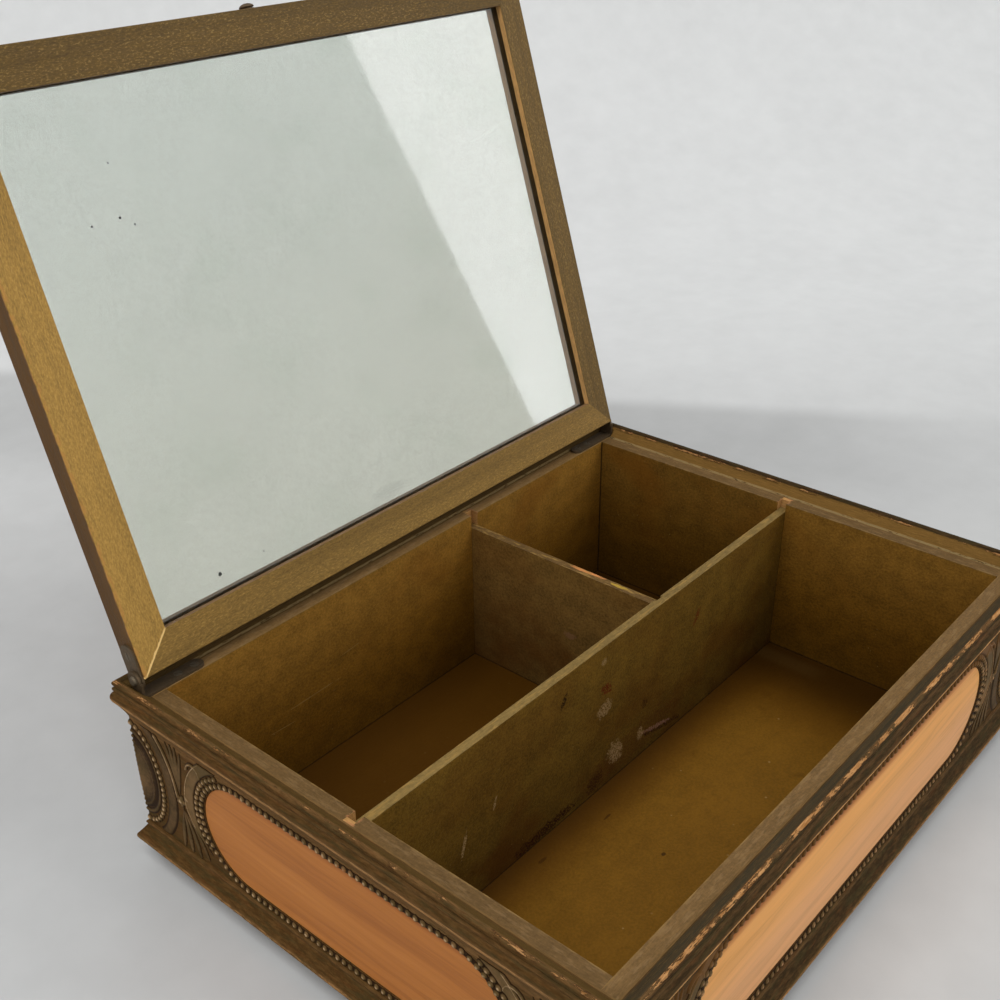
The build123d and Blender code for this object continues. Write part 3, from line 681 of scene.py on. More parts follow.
def divider_finish(name):
    """Divider board: olive brown faces, paler top with chips, red stains and pale scuffs on the long one."""
    bench = Bench(name, Specular_IOR_Level=0.08)
    height = bench.z - RIM
    long_one = name == "long_divider"
    along, deep = (bench.x, bench.y) if long_one else (bench.y, bench.x)
    bands, fibres = wood_grain(bench, along, height, deep)
    grain = mottled(bench, along, height, deep, bands, fibres)
    # Faces: redder low down, and darker low down as painted shade deep in the compartments, dusty, stained
    colour = bench.tone(linear(108, 80, 27) if long_one else linear(108, 80, 38), grain)
    warm = bench.clouds(along * 0.025, height * 0.03, deep + 6.0, detail=3.0)
    low = bench.rise(height, FLOOR - 0.2, -20.0, 1.0, 0.3)
    colour = bench.blend(bench.rise(warm, 0.42, 0.64) * low * 0.7, colour, linear(88, 46, 6))
    # Painted shade: darker towards the floor
    colour = bench.tone(colour, bench.rise(height, FLOOR - 0.2, -8.0, 0.66, 1.1))
    colour = bench.blend(dust(bench, along, height, deep) * 0.4, colour, DUST)
    ragged = bench.clouds(along * 0.5, height * 0.5, 4.0, detail=5.0, rough=0.75)
    if long_one:
        flaked = bench.clouds((along + height) * 1.1, (height - along) * 0.55, 11.0, detail=5.0, rough=0.75)
        front = 1.0 - bench.rise(deep, LONG_DIVIDER_FRONT + 0.1, LONG_DIVIDER_FRONT + 0.3)
        front = front * bench.rise(flaked, 0.43, 0.53)
        for middle, half, turn, strength, tint in DIVIDER_MARKS:
            mark = blot(bench, along, height, middle, half, ragged, turn)
            colour = bench.blend(mark * front * strength, colour, tint)
    else:
        scuff = blot(bench, along, height, (41.0, -38.2), (3.5, 1.6), ragged, -0.2)
        colour = bench.blend(scuff * 0.5, colour, linear(128, 92, 66))
    # Painted shade along the foot, where the divider meets the floor
    foot = 1.0 - bench.rise(height, FLOOR + 0.2, FLOOR + 0.9)
    colour = bench.blend(foot * 0.75, colour, CREVICE_SHADE)
    # Top edge and the worn arris below it
    top_height = DIVIDER_TOPS[name]
    top = bench.rise(height, top_height - 0.3, top_height - 0.05)
    worn = bench.clouds(along * 0.13, deep * 0.8, 8.0, detail=4.0, rough=0.65)
    edge = bench.tone(linear(119, 97, 55) if long_one else linear(92, 69, 38),
                      0.3 + 0.2 * bands + 0.3 * fibres + 0.5 * grain)
    edge = bench.blend(bench.rise(worn, 0.58, 0.68) * 0.5, edge, linear(164, 128, 78))
    # An orange chip and a painted glint on the cross divider's top
    if not long_one:
        for middle, half, strength, tint in CROSS_TOP_CHIP_AND_GLINT:
            edge = bench.blend(blot(bench, along, deep, middle, half, worn) * strength, edge, tint)
    colour = bench.blend(top, colour, edge)
    brow = bench.rise(height, top_height - 0.9, top_height) * bench.rise(worn, 0.5, 0.62)
    colour = bench.blend(brow * 0.6, colour, linear(150, 118, 62))
    rough = 0.52 + 0.18 * fibres + 0.1 * top
    return bench.finish(colour, rough, grain, depth=0.14, strength=0.6)


# Dark spots on the floor: place and half widths; and the lit middle of the front and the back: middle,
# half and softness each way, and strength
FLOOR_SPOTS = (((-17.5, -41.9), (1.1, 0.8)), ((-48.0, -10.0), (2.4, 0.8)), ((-15.0, -14.5), (2.2, 0.5)))
FLOOR_LIGHTS = (((-52.0, 26.0, 26.0), (-30.0, 90.0, 60.0), 1.0),
                ((48.0, 12.0, 36.0), (-30.0, 40.0, 56.0), 0.15))


def floor_finish():
    """Bottom board: smooth golden brown, darker towards the walls, with faint scratches, spots and dust."""
    bench = Bench("bottom_board", Specular_IOR_Level=0.07)
    x, y, z = bench.x, bench.y, bench.z
    bands, fibres = wood_grain(bench, x, y, z)
    cloud = bench.clouds(x * 0.02, y * 0.028, 1.0, detail=4.0)
    grain = mottled(bench, x, y, z, bands, fibres)
    colour = bench.tone(linear(113, 78, 20), 0.23 + 0.47 * cloud + 0.47 * grain)
    stain = bench.clouds(x * 0.06, y * 0.06, 9.0, detail=4.0, rough=0.6)
    colour = bench.blend(bench.rise(stain, 0.6, 0.7) * 0.3, colour, linear(70, 42, 6))
    colour = bench.blend(dust(bench, x, y, z, 0.16) * 0.5, colour, linear(160, 132, 84))
    for middle, half in FLOOR_SPOTS:
        colour = bench.blend(blot(bench, x, y, middle, half, stain) * 0.7, colour, linear(34, 18, 6))
    front, back = (bench.near(y, *across) * bench.near(x, *along) * strength
                   for across, along, strength in FLOOR_LIGHTS)
    lit = bench.most(front, back)
    colour = bench.blend(0.75 * (1.0 - lit), colour, linear(104, 62, 4))
    colour = bench.tone(colour, 0.36 + 0.64 * lit)
    # Shade and grime by the right wall
    colour = bench.tone(colour, 1.0 - 0.3 * bench.rise(x, 88.0, 116.0))
    grime = bench.near(x, 117.0, 1.5, 5.0) * bench.near(y, -12.0, 12.0, 14.0)
    colour = bench.blend(grime * 0.22, colour, linear(84, 62, 30))
    # Underside: plain wood
    under = 1.0 - bench.rise(z, 1.0, 3.5)
    plain = bench.tone(linear(150, 118, 76), 0.6 + 0.4 * bands + 0.3 * fibres)
    colour = bench.blend(under, colour, plain)
    return bench.finish(colour, 0.4 + 0.2 * fibres + 0.1 * cloud, grain, depth=0.08, strength=0.4)


def lid_place(bench):
    """The run along the hinge, the way up the lid and the way out of its mirror side, in mm."""
    away = bench.y - PIVOT[1], bench.z - PIVOT[2]
    up, out = (away[0] * float(way[1]) + away[1] * float(way[2]) for way in (LID_UP, LID_OUT))
    return bench.x, up, out


# Brightness of the lid's rails and of its top board, as painted sheen: the left rail brightest, catching the
# most light
RAIL_SHEEN_TONES = {"left": 1.0, "back": 0.63, "front": 0.32, "right": 0.38, "board": 0.5}


def lid_finish(name, finish):
    """Bronzed lid wood: speckled grain along the rail, dark outer edges, raw inner edges, an open mitre."""
    bench = Bench("lid_wood_" + name, Specular_IOR_Level=0.14)
    run, up, out = lid_place(bench)
    along, across = (run, up) if name in ("front", "back", "board") else (up, run)
    bands, fibres = wood_grain(bench, along, across, out, figure=1.6)
    speckle = bench.clouds((along + across) * 0.7, (across - along * 0.2) * 1.8, out * 2.0,
                           detail=4.0, rough=0.75)
    fleck = bench.rise(speckle, 0.3, 0.7)
    # Mirror side: speckled and glittering, each rail toned by its painted sheen, over darker sides
    grain = 0.5 + 0.3 * bands + 0.25 * fibres + 0.5 * fleck
    colour = bench.tone(tuple(finish.lid), RAIL_SHEEN_TONES[name] * grain)
    glitter = bench.rise(fleck, 0.7, 0.95) * bench.rise(bands, 0.2, 0.7)
    colour = bench.blend(glitter * 0.28, colour, linear(196, 160, 92))
    edge = 1.0 - bench.rise(out, LID_FACE - 0.8, LID_FACE - 0.15)
    side = bench.tone(linear(92, 64, 31), 0.6 + 0.35 * bands + 0.4 * fibres)
    colour = bench.blend(edge, colour, side)
    # Raw step of the rails round the glass
    inner = bench.near(abs(run), SIGHT_RUN, 0.25, 0.1) * bench.near(up, LID_MIDDLE, SIGHT_UP, 0.3)
    lip = bench.near(abs(up - LID_MIDDLE), SIGHT_UP, 0.25, 0.1) * bench.near(run, 0.0, SIGHT_RUN, 0.3)
    step = bench.rise(out, GLASS_FACE - 0.4, GLASS_FACE - 0.2)
    step = step * (1.0 - bench.rise(out, LID_FACE - 0.3, LID_FACE - 0.1))
    raw = bench.tone(linear(206, 158, 98) if name == "right" else linear(128, 98, 66), 0.75 + 0.4 * fibres)
    colour = bench.blend(bench.most(inner, lip) * step, colour, raw)
    if name in ("left", "back"):
        # Crack along the mitre at the left end of the hinge side
        ragged = bench.clouds(run * 0.5, up * 0.5, 5.0, detail=4.0)
        mitre = abs((run + LID_HALF) - (up - LID_BACK) + 1.2 * (ragged - 0.5))
        low = 1.0 - bench.rise(run, 12.0 - LID_HALF, 14.0 - LID_HALF)
        crack = (1.0 - bench.rise(mitre, 0.1 + ragged * 0.5, 0.3 + ragged * 0.7)) * low
        colour = bench.blend(crack, colour, linear(240, 200, 128))
    if name == "left":
        torn = bench.clouds(run * 0.5, up * 0.25, out * 0.9, detail=3.0)
        rubbed = bench.near(run, -LID_HALF, 0.7, 0.7) * bench.near(out, LID_FACE, 0.7, 0.7)
        colour = bench.blend(rubbed * bench.rise(torn, 0.44, 0.56) * 0.6, colour, linear(186, 132, 68))
    rough = 0.46 + 0.2 * fibres
    return bench.finish(colour, rough, fleck * 0.6 + fibres * 0.6, depth=0.14, strength=0.55)


# Cedar's colours from its dark to its light streaks
CEDAR_STREAKS = ((0.3, linear(176, 100, 34)), (0.46, linear(190, 114, 44)),
                 (0.58, linear(200, 124, 54)), (0.74, linear(208, 136, 64)))


def cedar_finish(name, finish):
    """Oiled cedar: warm orange with long soft streaks and fine lines along the panel."""
    front = name == "front"
    bench = Bench("cedar_" + name, Specular_IOR_Level=0.12 if front else 0.3)
    if name == "lid":
        along, across, deep = lid_place(bench)
    elif name in ("front", "back"):
        along, across, deep = bench.x, bench.z, bench.y
    else:
        along, across, deep = bench.y, bench.z, bench.x
    slow = bench.clouds(along * 0.014, across * 0.05, deep * 0.1, detail=1.0) * 10.0
    streak = bench.clouds(along * 0.009, (across + slow) * 0.2, deep * 0.1, detail=4.0, rough=0.6)
    fine = bench.clouds(along * 0.06, (across + slow * 0.5) * 1.4, deep, detail=3.0, rough=0.6)
    if front:
        # Bleached: paler and pinker below
        tint = bench.blend(bench.rise(bench.z, 30.0, 52.0), linear(230, 172, 120), linear(238, 172, 98))
        tint = bench.tone(tint, 0.74 + 0.44 * streak + 0.2 * fine)
    else:
        tint = bench.node("ShaderNodeValToRGB", {"stops": CEDAR_STREAKS}, {0: streak * 0.7 + fine * 0.3})
        tint = bench.tone(tint, 0.68 + 0.3 * streak)
        tint = bench.blend(1.0, tint, (1.0, 0.99, 0.86), "MULTIPLY")
    line = bench.rise(streak, 0.4, 0.43) * (1.0 - bench.rise(streak, 0.43, 0.47))
    colour = bench.blend(line * (0.14 if front else 0.3), tint, linear(140, 76, 28))
    colour = bench.blend(0.15, colour, tuple(finish.cedar))
    if name != "lid":
        # Painted shade under the upper border: deep orange where the moulding above shades the panel
        low, high, strength = (15.0, 20.0, 0.85) if front else (17.0, 21.1, 0.6)
        border_shade = bench.rise(bench.z - RIM - PANEL_MIDDLE, low, high, 0.0, strength)
        colour = bench.blend(border_shade, colour, linear(148, 70, 4))
    return bench.finish(colour, 0.46 + 0.15 * fine, fine * 0.6 + streak * 0.4, depth=0.08, strength=0.35)


def carved_finish(name):
    """Carving and beads: taupe stain, dark in the hollows, rubbed paler on the high places with a painted
    highlight on the tips, bare in spots, and painted shade on the front's top row.
    """
    bench = Bench("carved_" + name, Specular_IOR_Level=0.05)
    if name == "lid":
        along, height, out = lid_place(bench)
        lift = (LID_TOP_BOARD - out) * (BORDER_RISE / LID_BORDER_RISE)
    else:
        reach, along, height = side_place(bench, name)
        lift = reach - FRIEZE
    cloud = bench.clouds(along * 0.09, height * 0.09, 2.0, detail=4.0, rough=0.6)
    fine = bench.clouds(along * 0.9, height * 0.9, lift, detail=2.0)
    low = bench.tone(linear(46, 28, 10), 0.75 + 0.4 * cloud)
    high = bench.blend(bench.rise(cloud, 0.4, 0.62), linear(96, 76, 45), linear(122, 94, 60))
    colour = bench.blend(bench.rise(lift + 0.3 * (fine - 0.5), 0.08, 0.55), low, high)
    # Tips rubbed paler, with a painted highlight on them
    tip = bench.rise(lift + 0.25 * (fine - 0.5), 0.64, 0.86) * bench.rise(cloud, 0.3, 0.5, 0.45, 1.0)
    tip_highlight_colour = linear(190, 142, 102) if name == "front" else linear(204, 170, 130)
    colour = bench.blend(tip * 0.9, colour, tip_highlight_colour)
    bare = bench.rise(lift, 0.3, 0.6) * bench.rise(cloud, 0.62, 0.67)
    colour = bench.blend(bare * 0.6, colour, linear(168, 104, 56))
    if name == "front":
        # Painted shade on the top row under the cove: an even brown
        upper = bench.rise(height + 3.0 * (cloud - 0.5), -20.0, -14.5)
        colour = bench.blend(upper * 0.7, colour, linear(112, 74, 34))
    return bench.finish(colour, 0.5 + 0.15 * fine, fine, depth=0.1, strength=0.5)


def iron_finish(name, colour):
    """Blackened steel: uneven, slightly rusted, with brighter rubbed spots."""
    bench = Bench(name, Metallic=0.6, Specular_IOR_Level=0.5)
    cloud = bench.clouds(bench.x, bench.y, bench.z, scale=0.6, detail=4.0)
    fine = bench.clouds(bench.x, bench.y, bench.z, scale=2.5, detail=3.0)
    tint = bench.tone(colour, 0.7 + 0.6 * cloud)
    tint = bench.blend(bench.rise(cloud, 0.56, 0.68) * 0.6, tint, linear(104, 78, 54))
    return bench.finish(tint, 0.42 + 0.3 * fine, fine + cloud, depth=0.15, strength=0.7)


def backing_finish():
    """Plain grey brown board behind the glass."""
    bench = Bench("backing_board")
    run, up, out = lid_place(bench)
    pulp = bench.clouds(run * 0.4, up * 0.4, out, detail=4.0)
    return bench.finish(bench.tone(linear(150, 132, 104), 0.7 + 0.5 * pulp), 0.85, pulp)


# Spots in the silver: place along the hinge and up the lid, half width; and a faint smudge
MIRROR_SPOTS = (((-89.8, 20.1), 0.8), ((-82.5, 144.6), 0.5), ((-77.9, 141.5), 0.4), ((-93.3, 144.1), 0.35),
                ((-80.3, 161.8), 0.35), ((-69.6, 20.3), 0.35), ((-66.6, 45.0), 0.3))
MIRROR_SMUDGE = ((-5.0, 19.0), (9.0, 2.6))


def mirror_finish():
    """Silver behind the glass: clean, with a few dark specks."""
    bench = Bench("mirror_silver", Metallic=1.0)
    run, up = lid_place(bench)[:2]
    ragged = bench.clouds(run, up, 0.0, detail=2.0)
    smudge = blot(bench, run, up, *MIRROR_SMUDGE, ragged)
    colour = bench.blend(smudge * 0.12, linear(246, 247, 244), linear(150, 148, 142))
    for middle, half in MIRROR_SPOTS:
        spot = blot(bench, run, up, middle, (half, half), ragged * 0.3 + 0.35)
        colour = bench.blend(spot, colour, linear(20, 18, 16))
    return bench.finish(colour, 0.012 + 0.02 * ragged)


def glass_finish():
    """Clear plate glass with a faint green cast."""
    bench = Bench("mirror_glass", Transmission_Weight=1.0, IOR=1.5, Roughness=0.0)
    run, up = lid_place(bench)[:2]
    haze = bench.clouds(run * 0.03, up * 0.03, 0.0, detail=3.0)
    tint = bench.blend(bench.rise(haze, 0.45, 0.75), linear(250, 252, 249), linear(243, 247, 242))
    return bench.finish(tint)


class BOX_OT_walls(bpy.types.Operator):
    """Finish the moulded walls, the inside boards, the dividers and the bottom"""

    bl_idname = "keepsake.walls"
    bl_label = "Walls and inside"

    def execute(self, context):
        finish = context.scene.keepsake_finish
        for name in SIDES:
            dress([name + "_wall"], moulding_finish(name, finish))
            dress([name + "_liner"], liner_finish(name, finish))
        for name in DIVIDER_TOPS:
            dress([name], divider_finish(name))
        dress(["bottom_board"], floor_finish())
        return {"FINISHED"}


class BOX_OT_panels(bpy.types.Operator):
    """Finish the cedar panels of the sides and the lid"""

    bl_idname = "keepsake.panels"
    bl_label = "Cedar panels"

    def execute(self, context):
        finish = context.scene.keepsake_finish
        for name in SIDES:
            dress([name + "_panel"], cedar_finish(name, finish))
        dress(["lid_panel"], cedar_finish("lid", finish))
        return {"FINISHED"}


class BOX_OT_beads(bpy.types.Operator):
    """Build the bead borders round the panels"""

    bl_idname = "keepsake.beads"
    bl_label = "Bead borders"

    def execute(self, context):
        sizes = context.scene.keepsake_ornament
        radius = PANEL_HEIGHT / 2 + BORDER_INNER + BORDER_WIDTH / 2
        for name, side in SIDES.items():
            half_straight = side.half_run + FRIEZE - PANEL_END

            def place_on_side(along, up, lift, wall=name):
                return side_point(wall, along, PANEL_MIDDLE + up, FRIEZE + lift)

            points, faces = bead_border(place_on_side, half_straight, radius, BORDER_WIDTH,
                                        BORDER_RISE, sizes)
            piece = make_piece(name + "_beads", points, faces, carved_finish(name), "box")
            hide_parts(name + "_bead_border")
        half_length, half_depth = SIGHT_RUN - LID_PANEL_MARGIN, SIGHT_UP - LID_PANEL_MARGIN
        radius = half_depth + BORDER_INNER + BORDER_WIDTH / 2

        def place_on_lid(along, up, lift):
            return lid_point(-along, LID_MIDDLE + up, LID_TOP_BOARD - lift)

        points, faces = bead_border(place_on_lid, half_length - half_depth, radius, BORDER_WIDTH,
                                    LID_BORDER_RISE, sizes)
        piece = make_piece("lid_beads", points, faces, carved_finish("lid"), "lid")
        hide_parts("lid_bead_border")
        return {"FINISHED"}


# Steps along an oval when places on it are looked for
OVAL_STEPS = 2000

# Corner carving, in mm away from the corner and up from the panel's middle: half axes of the medallion,
# of the crescent inside it and of the larger oval, and middles of the boss, the lobe beside it and the curl
MEDALLION = (13.7, 22.0)
CRESCENT = (10.8, 16.8)
CRESCENT_MIDDLE = (-1.2, -1.4)
LARGE_OVAL = (22.6, 31.0)
BOSS = (24.2, -0.4)
SIDE_LOBE = (28.4, 2.6)
CURL = (35.2, 17.6)

# Circles round the panel's end: the beads' row, the scroll's inner edge, its outer edge, and how much
# nearer the outer edge comes at its foot; and the radius of a carved bead
BEAD_ROW = 24.5
SCROLL_INNER = 25.6
SCROLL_OUTER = 30.9
SCROLL_TAPER = 3.4
CARVED_BEAD = 1.2

# Petals: height of the back, depth and half width of the vein
PETAL_RISE = 0.6
VEIN_DEPTH = 0.12
VEIN_HALF = 0.25

# The two fans: root, bend for each mm from the upper root, and each petal's tip and half width
UPPER_ROOT = (24.4, 2.2)
LOWER_ROOT = (25.0, -3.2)
FANS = (
    (UPPER_ROOT, 0.05, ((20.4, 24.0, 1.0), (22.9, 25.0, 1.1), (25.6, 24.6, 1.1), (28.2, 22.6, 0.9))),
    (LOWER_ROOT, 0.09, ((21.4, -23.8, 1.2), (26.0, -24.4, 1.4), (31.0, -23.6, 1.3), (36.0, -22.0, 1.0))),
)

# The carved patch: its ends down and up from the panel's middle, its farthest reach from the corner and
# the reach that its columns are counted on, how far up and down from its own middle the relief has faded
# away, the width of the fade at its far end, how far its ground and its back lie inside the frieze, and
# how near the corner its relief bulges past it
PATCH_DOWN = -23.1
PATCH_UP = 23.9
PATCH_REACH = 48.5
PATCH_COLUMNS_REACH = 42.0
PATCH_FADE_FROM = 24.4
PATCH_FADE_END = 1.5
PATCH_SINK = 0.1
PATCH_DEPTH = 0.3
CORNER_BULGE = 2.5


def egg_row(along, up, places, radius, rise):
    """Height of a row of domes: root of one less the square of the nearest distance over the radius."""
    near = np.min((along[..., None] - places[:, 0]) ** 2 + (up[..., None] - places[:, 1]) ** 2, -1)
    return rise * np.sqrt(np.clip(1 - near / radius ** 2, 0, 1))


def oval_walk(wide, tall, pitch, stop):
    """Points at an even pitch along an upright half oval, from its top to its bottom."""
    angle = np.linspace(-stop, stop, OVAL_STEPS)
    line = np.stack([wide * np.cos(angle), tall * np.sin(angle)], -1)
    way = np.concatenate([[0], np.cumsum(np.hypot(*np.diff(line, axis=0).T))])
    marks = np.linspace(0, way[-1], int(round(way[-1] / pitch)) + 1)
    return np.stack([np.interp(marks, way, line[:, k]) for k in range(2)], -1)


def step_up(value, low, high):
    """A smooth step from 0 to 1: three squares less two cubes of the share of the way."""
    part = np.clip((value - low) / (high - low), 0, 1)
    return part * part * (3 - 2 * part)


def ridge(away, half):
    """A rounded ridge of height 1: e to the power of minus the square of the distance over the half width."""
    return np.exp(-(away / half) ** 2)


def dome(share, power=0.5):
    """A dome of height 1: one less the square of the share of its half width, to a power."""
    return np.clip(1 - share ** 2, 0, 1) ** power


def petal(away, up, root, tip, half, bow):
    """A leaf from root to tip: a round back that swells and closes, bent sideways, with a vein down it."""
    way = np.array(tip) - np.array(root)
    length = np.hypot(*way)
    way = way / length
    run = ((away - root[0]) * way[0] + (up - root[1]) * way[1]) / length
    inside = np.clip(run, 0, 1)
    side = (up - root[1]) * way[0] - (away - root[0]) * way[1] - bow * np.sin(pi * inside)
    wide = half * np.clip(np.sin(pi * inside ** 1.5), 0, 1) ** 0.6 + 1e-6
    back = PETAL_RISE * dome(side / wide, 0.55) - VEIN_DEPTH * ridge(side, VEIN_HALF)
    return np.where((run > 0) & (run < 1), back, 0)


def medallion_relief(away, up, oval):
    """The half oval at the corner: beads on its line, a rim and a crescent within, and a domed field."""
    beads = 0.1 + 0.85 * egg_row(away, up, oval_walk(*MEDALLION, 2.6, 1.5), CARVED_BEAD, 1.0)
    beads = beads * dome((oval - 1.0) * 12 / 1.75)
    rim = 0.5 * ridge((oval - 0.82) * 12, 0.6)
    inner = np.hypot((away - CRESCENT_MIDDLE[0]) / CRESCENT[0], (up - CRESCENT_MIDDLE[1]) / CRESCENT[1])
    crescent = 0.42 * ridge((inner - 0.83) * 11, 0.75)
    field = 0.5 * dome(oval / 0.76)
    return np.maximum.reduce([beads, rim, crescent, field]) * (oval < 1.15)


def boss_relief(away, up):
    """A boss with five lobes and a groove round its middle, and a small round lobe beside it."""
    over, above = away - BOSS[0], up - BOSS[1]
    reach = np.hypot(over, above)
    lobes = 2.5 + 0.5 * np.cos(5 * np.arctan2(above, over) + 0.6)
    boss = 0.9 * dome(reach / lobes) - 0.3 * ridge(reach - 1.2, 0.28)
    beside = np.hypot(away - SIDE_LOBE[0], up - SIDE_LOBE[1])
    return np.maximum(boss, 0.85 * dome(beside / 1.7))


def fan_relief(away, up):
    """The petals of the two fans, each bent more the farther its tip is from the upper root."""
    fans = np.zeros_like(away)
    for root, bend, petals in FANS:
        for tip_away, tip_up, half in petals:
            bow = (tip_away - UPPER_ROOT[0]) * bend
            fans = np.maximum(fans, petal(away, up, root, (tip_away, tip_up), half, bow))
    return fans


def scroll_relief(away, up, around, outer):
    """A broad scroll with a raised lip that curls over at its top, and a row of beads inside it."""
    body = 0.6 * step_up(around, SCROLL_INNER, SCROLL_INNER + 1.0)
    body = body * (1 - step_up(around, outer - 0.9, outer)) * step_up(up, -20.0, -12.0)
    lip = 0.9 * ridge(around - outer + 0.5, 0.5) * step_up(up, -18.0, -8.0)
    over, above = away - CURL[0], up - CURL[1]
    curl = 0.9 * ridge(np.hypot(over, above) - 3.1 - 0.3 * np.arctan2(above, over), 0.5)
    curl = curl * (around > SCROLL_INNER + 0.2) * step_up(up, 15.0, 18.0)
    angles = np.linspace(-0.62, 1.22, 17)
    row = np.stack([PANEL_END - BEAD_ROW * np.cos(angles), BEAD_ROW * np.sin(angles)], -1)
    beads = (0.1 + 0.8 * egg_row(away, up, row, CARVED_BEAD, 1.0)) * (np.abs(around - BEAD_ROW) < 1.1)
    beads = beads * step_up(up, -16.0, -13.5) * (1 - step_up(up, 23.0, 24.0))
    return np.maximum.reduce([body, lip, curl, beads])


def corner_relief(away, up):
    """Height of the carving at a distance from the corner and a height from the panel's middle, in mm.

    It is the greatest of: a half oval medallion; a smooth band and a thin ridge on a larger oval; a
    boss; two fans of petals; a scroll on circles round the panel's end; and a row of small domes down
    the corner. An oval's distance is the root of the squared ways over its half axes, 1 on its line.
    """
    around = np.hypot(away - PANEL_END, up)
    outer = SCROLL_OUTER - SCROLL_TAPER * (1 - step_up(up, -16.0, 2.0))
    beyond = around > outer
    oval = np.hypot(away / MEDALLION[0], up / MEDALLION[1])
    large = np.hypot(away / LARGE_OVAL[0], up / LARGE_OVAL[1])
    plain = 0.42 * step_up(oval, 1.13, 1.24) * (1 - step_up(large, 0.9, 0.98))
    line = 0.95 * ridge((large - 1) * 25, 0.5) * step_up(up, -4.0, 2.0) * beyond
    open_place = ((large > 1.02) | (up < 0)) & beyond & (oval > 1.16)
    corner = np.stack([np.full(17, 0.3), np.linspace(-18, 18, 17)], -1)
    height = np.maximum.reduce([
        medallion_relief(away, up, oval), plain, line, boss_relief(away, up),
        fan_relief(away, up) * open_place, scroll_relief(away, up, around, outer),
        egg_row(away, up, corner, 0.85, 0.6)])
    return np.clip(height, 0, 1.05)


def patch_grid(step):
    """Rows up the frieze and columns from the corner to the bead border, and the relief on them, in mm.

    The far end of each row follows the border's circle, or stops at the patch's farthest reach.
    """
    up = np.linspace(PATCH_DOWN, PATCH_UP, int((PATCH_UP - PATCH_DOWN) / step))
    share = np.linspace(0, 1, int(PATCH_COLUMNS_REACH / step))
    ring = PANEL_HEIGHT / 2 + BORDER_INNER + BORDER_WIDTH
    bend = PANEL_END - np.sqrt(np.clip(ring ** 2 - up ** 2, 0, None))
    reach = np.where(np.abs(up) < ring, np.minimum(bend, PATCH_REACH), PATCH_REACH)
    up = np.repeat(up[:, None], len(share), 1)
    away = share[None, :] * reach[:, None]
    fade = np.clip(PATCH_FADE_FROM - np.abs(up - (PATCH_DOWN + PATCH_UP) / 2), 0, 1)
    fade = fade * np.clip((PATCH_REACH - away) / PATCH_FADE_END, 0, 1)
    return up, away, corner_relief(away, up) * fade - PATCH_SINK


def carved_patch(name, end, up, away, lift):
    """One closed carving: the relief, a flat back inside the wood and a band that joins their edges."""
    rows, columns = up.shape
    corner = SIDES[name].half_run + FRIEZE
    bulged = away - np.maximum(lift, 0) * np.clip(1 - away / CORNER_BULGE, 0, 1)
    front = side_point(name, end * (corner - bulged), PANEL_MIDDLE + up, FRIEZE + lift).reshape(-1, 3)
    edge = np.concatenate([np.arange(columns), np.arange(1, rows) * columns + columns - 1,
                           (rows - 1) * columns + np.arange(columns - 2, -1, -1),
                           np.arange(rows - 2, 0, -1) * columns])
    back = side_point(name, end * (corner - away.ravel()[edge]), PANEL_MIDDLE + up.ravel()[edge],
                      FRIEZE - PATCH_DEPTH)
    order = len(front) + np.arange(len(edge))
    band = np.stack([edge, np.roll(edge, -1), np.roll(order, -1), order], -1)
    turned = slice(None, None, 1 if end > 0 else -1)
    faces = [face[turned] for block in (grid_faces(rows, columns), band, order[None, :]) for face in block]
    return np.concatenate([front, back]), faces


class BOX_OT_carving(bpy.types.Operator):
    """Carve the ornament at the ends of the friezes"""

    bl_idname = "keepsake.carving"
    bl_label = "Corner carving"

    def execute(self, context):
        grid = patch_grid(context.scene.keepsake_ornament.relief_step / MM)
        for name in SIDES:
            right, right_faces = carved_patch(name, 1, *grid)
            left, left_faces = carved_patch(name, -1, *grid)
            faces = right_faces + [face + len(right) for face in left_faces]
            piece = make_piece(name + "_carving", np.concatenate([right, left]), faces,
                               bpy.data.materials["carved_" + name], "box")
            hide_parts(name + "_ornament")
        return {"FINISHED"}


class BOX_OT_lid(bpy.types.Operator):
    """Finish the lid's frame and boards"""

    bl_idname = "keepsake.lid"
    bl_label = "Lid frame"

    def execute(self, context):
        finish = context.scene.keepsake_finish
        for name in SIDES:
            dress(["lid_" + name + "_rail"], lid_finish(name, finish))
        dress(["lid_top_board"], lid_finish("board", finish))
        dress(["mirror_backing"], backing_finish())
        return {"FINISHED"}


class BOX_OT_mirror(bpy.types.Operator):
    """Build the mirror: a plate of clear glass silvered on its back"""

    bl_idname = "keepsake.mirror"
    bl_label = "Mirror"

    def execute(self, context):
        # Rounds of the plate from the silvered back to the face: a square line, drawn in at the ground edge
        inset = np.array([0.0, 0.0, GROUND_EDGE, GROUND_EDGE])
        out = np.array([GLASS_BACK, GLASS_FACE - GROUND_EDGE, GLASS_FACE - 0.02, GLASS_FACE])
        corner = np.array([[-1, -1], [1, -1], [1, 1], [-1, 1]])
        half = np.array([SIGHT_RUN, SIGHT_UP]) + RABBET
        rounds = corner[None] * (half - inset[:, None, None])
        points = lid_point(rounds[..., 0], LID_MIDDLE + rounds[..., 1], out[:, None]).reshape(-1, 3)
        faces = list(grid_faces(4, 4, wrap_columns=True)[:, ::-1]) + [[12, 13, 14, 15], [3, 2, 1, 0]]
        piece = make_piece("mirror_plate", points, faces, glass_finish(), "lid", smooth=False)
        piece.data.materials.append(mirror_finish())
        piece.data.polygons[len(faces) - 1].material_index = 1
        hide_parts("mirror_glass")
        return {"FINISHED"}


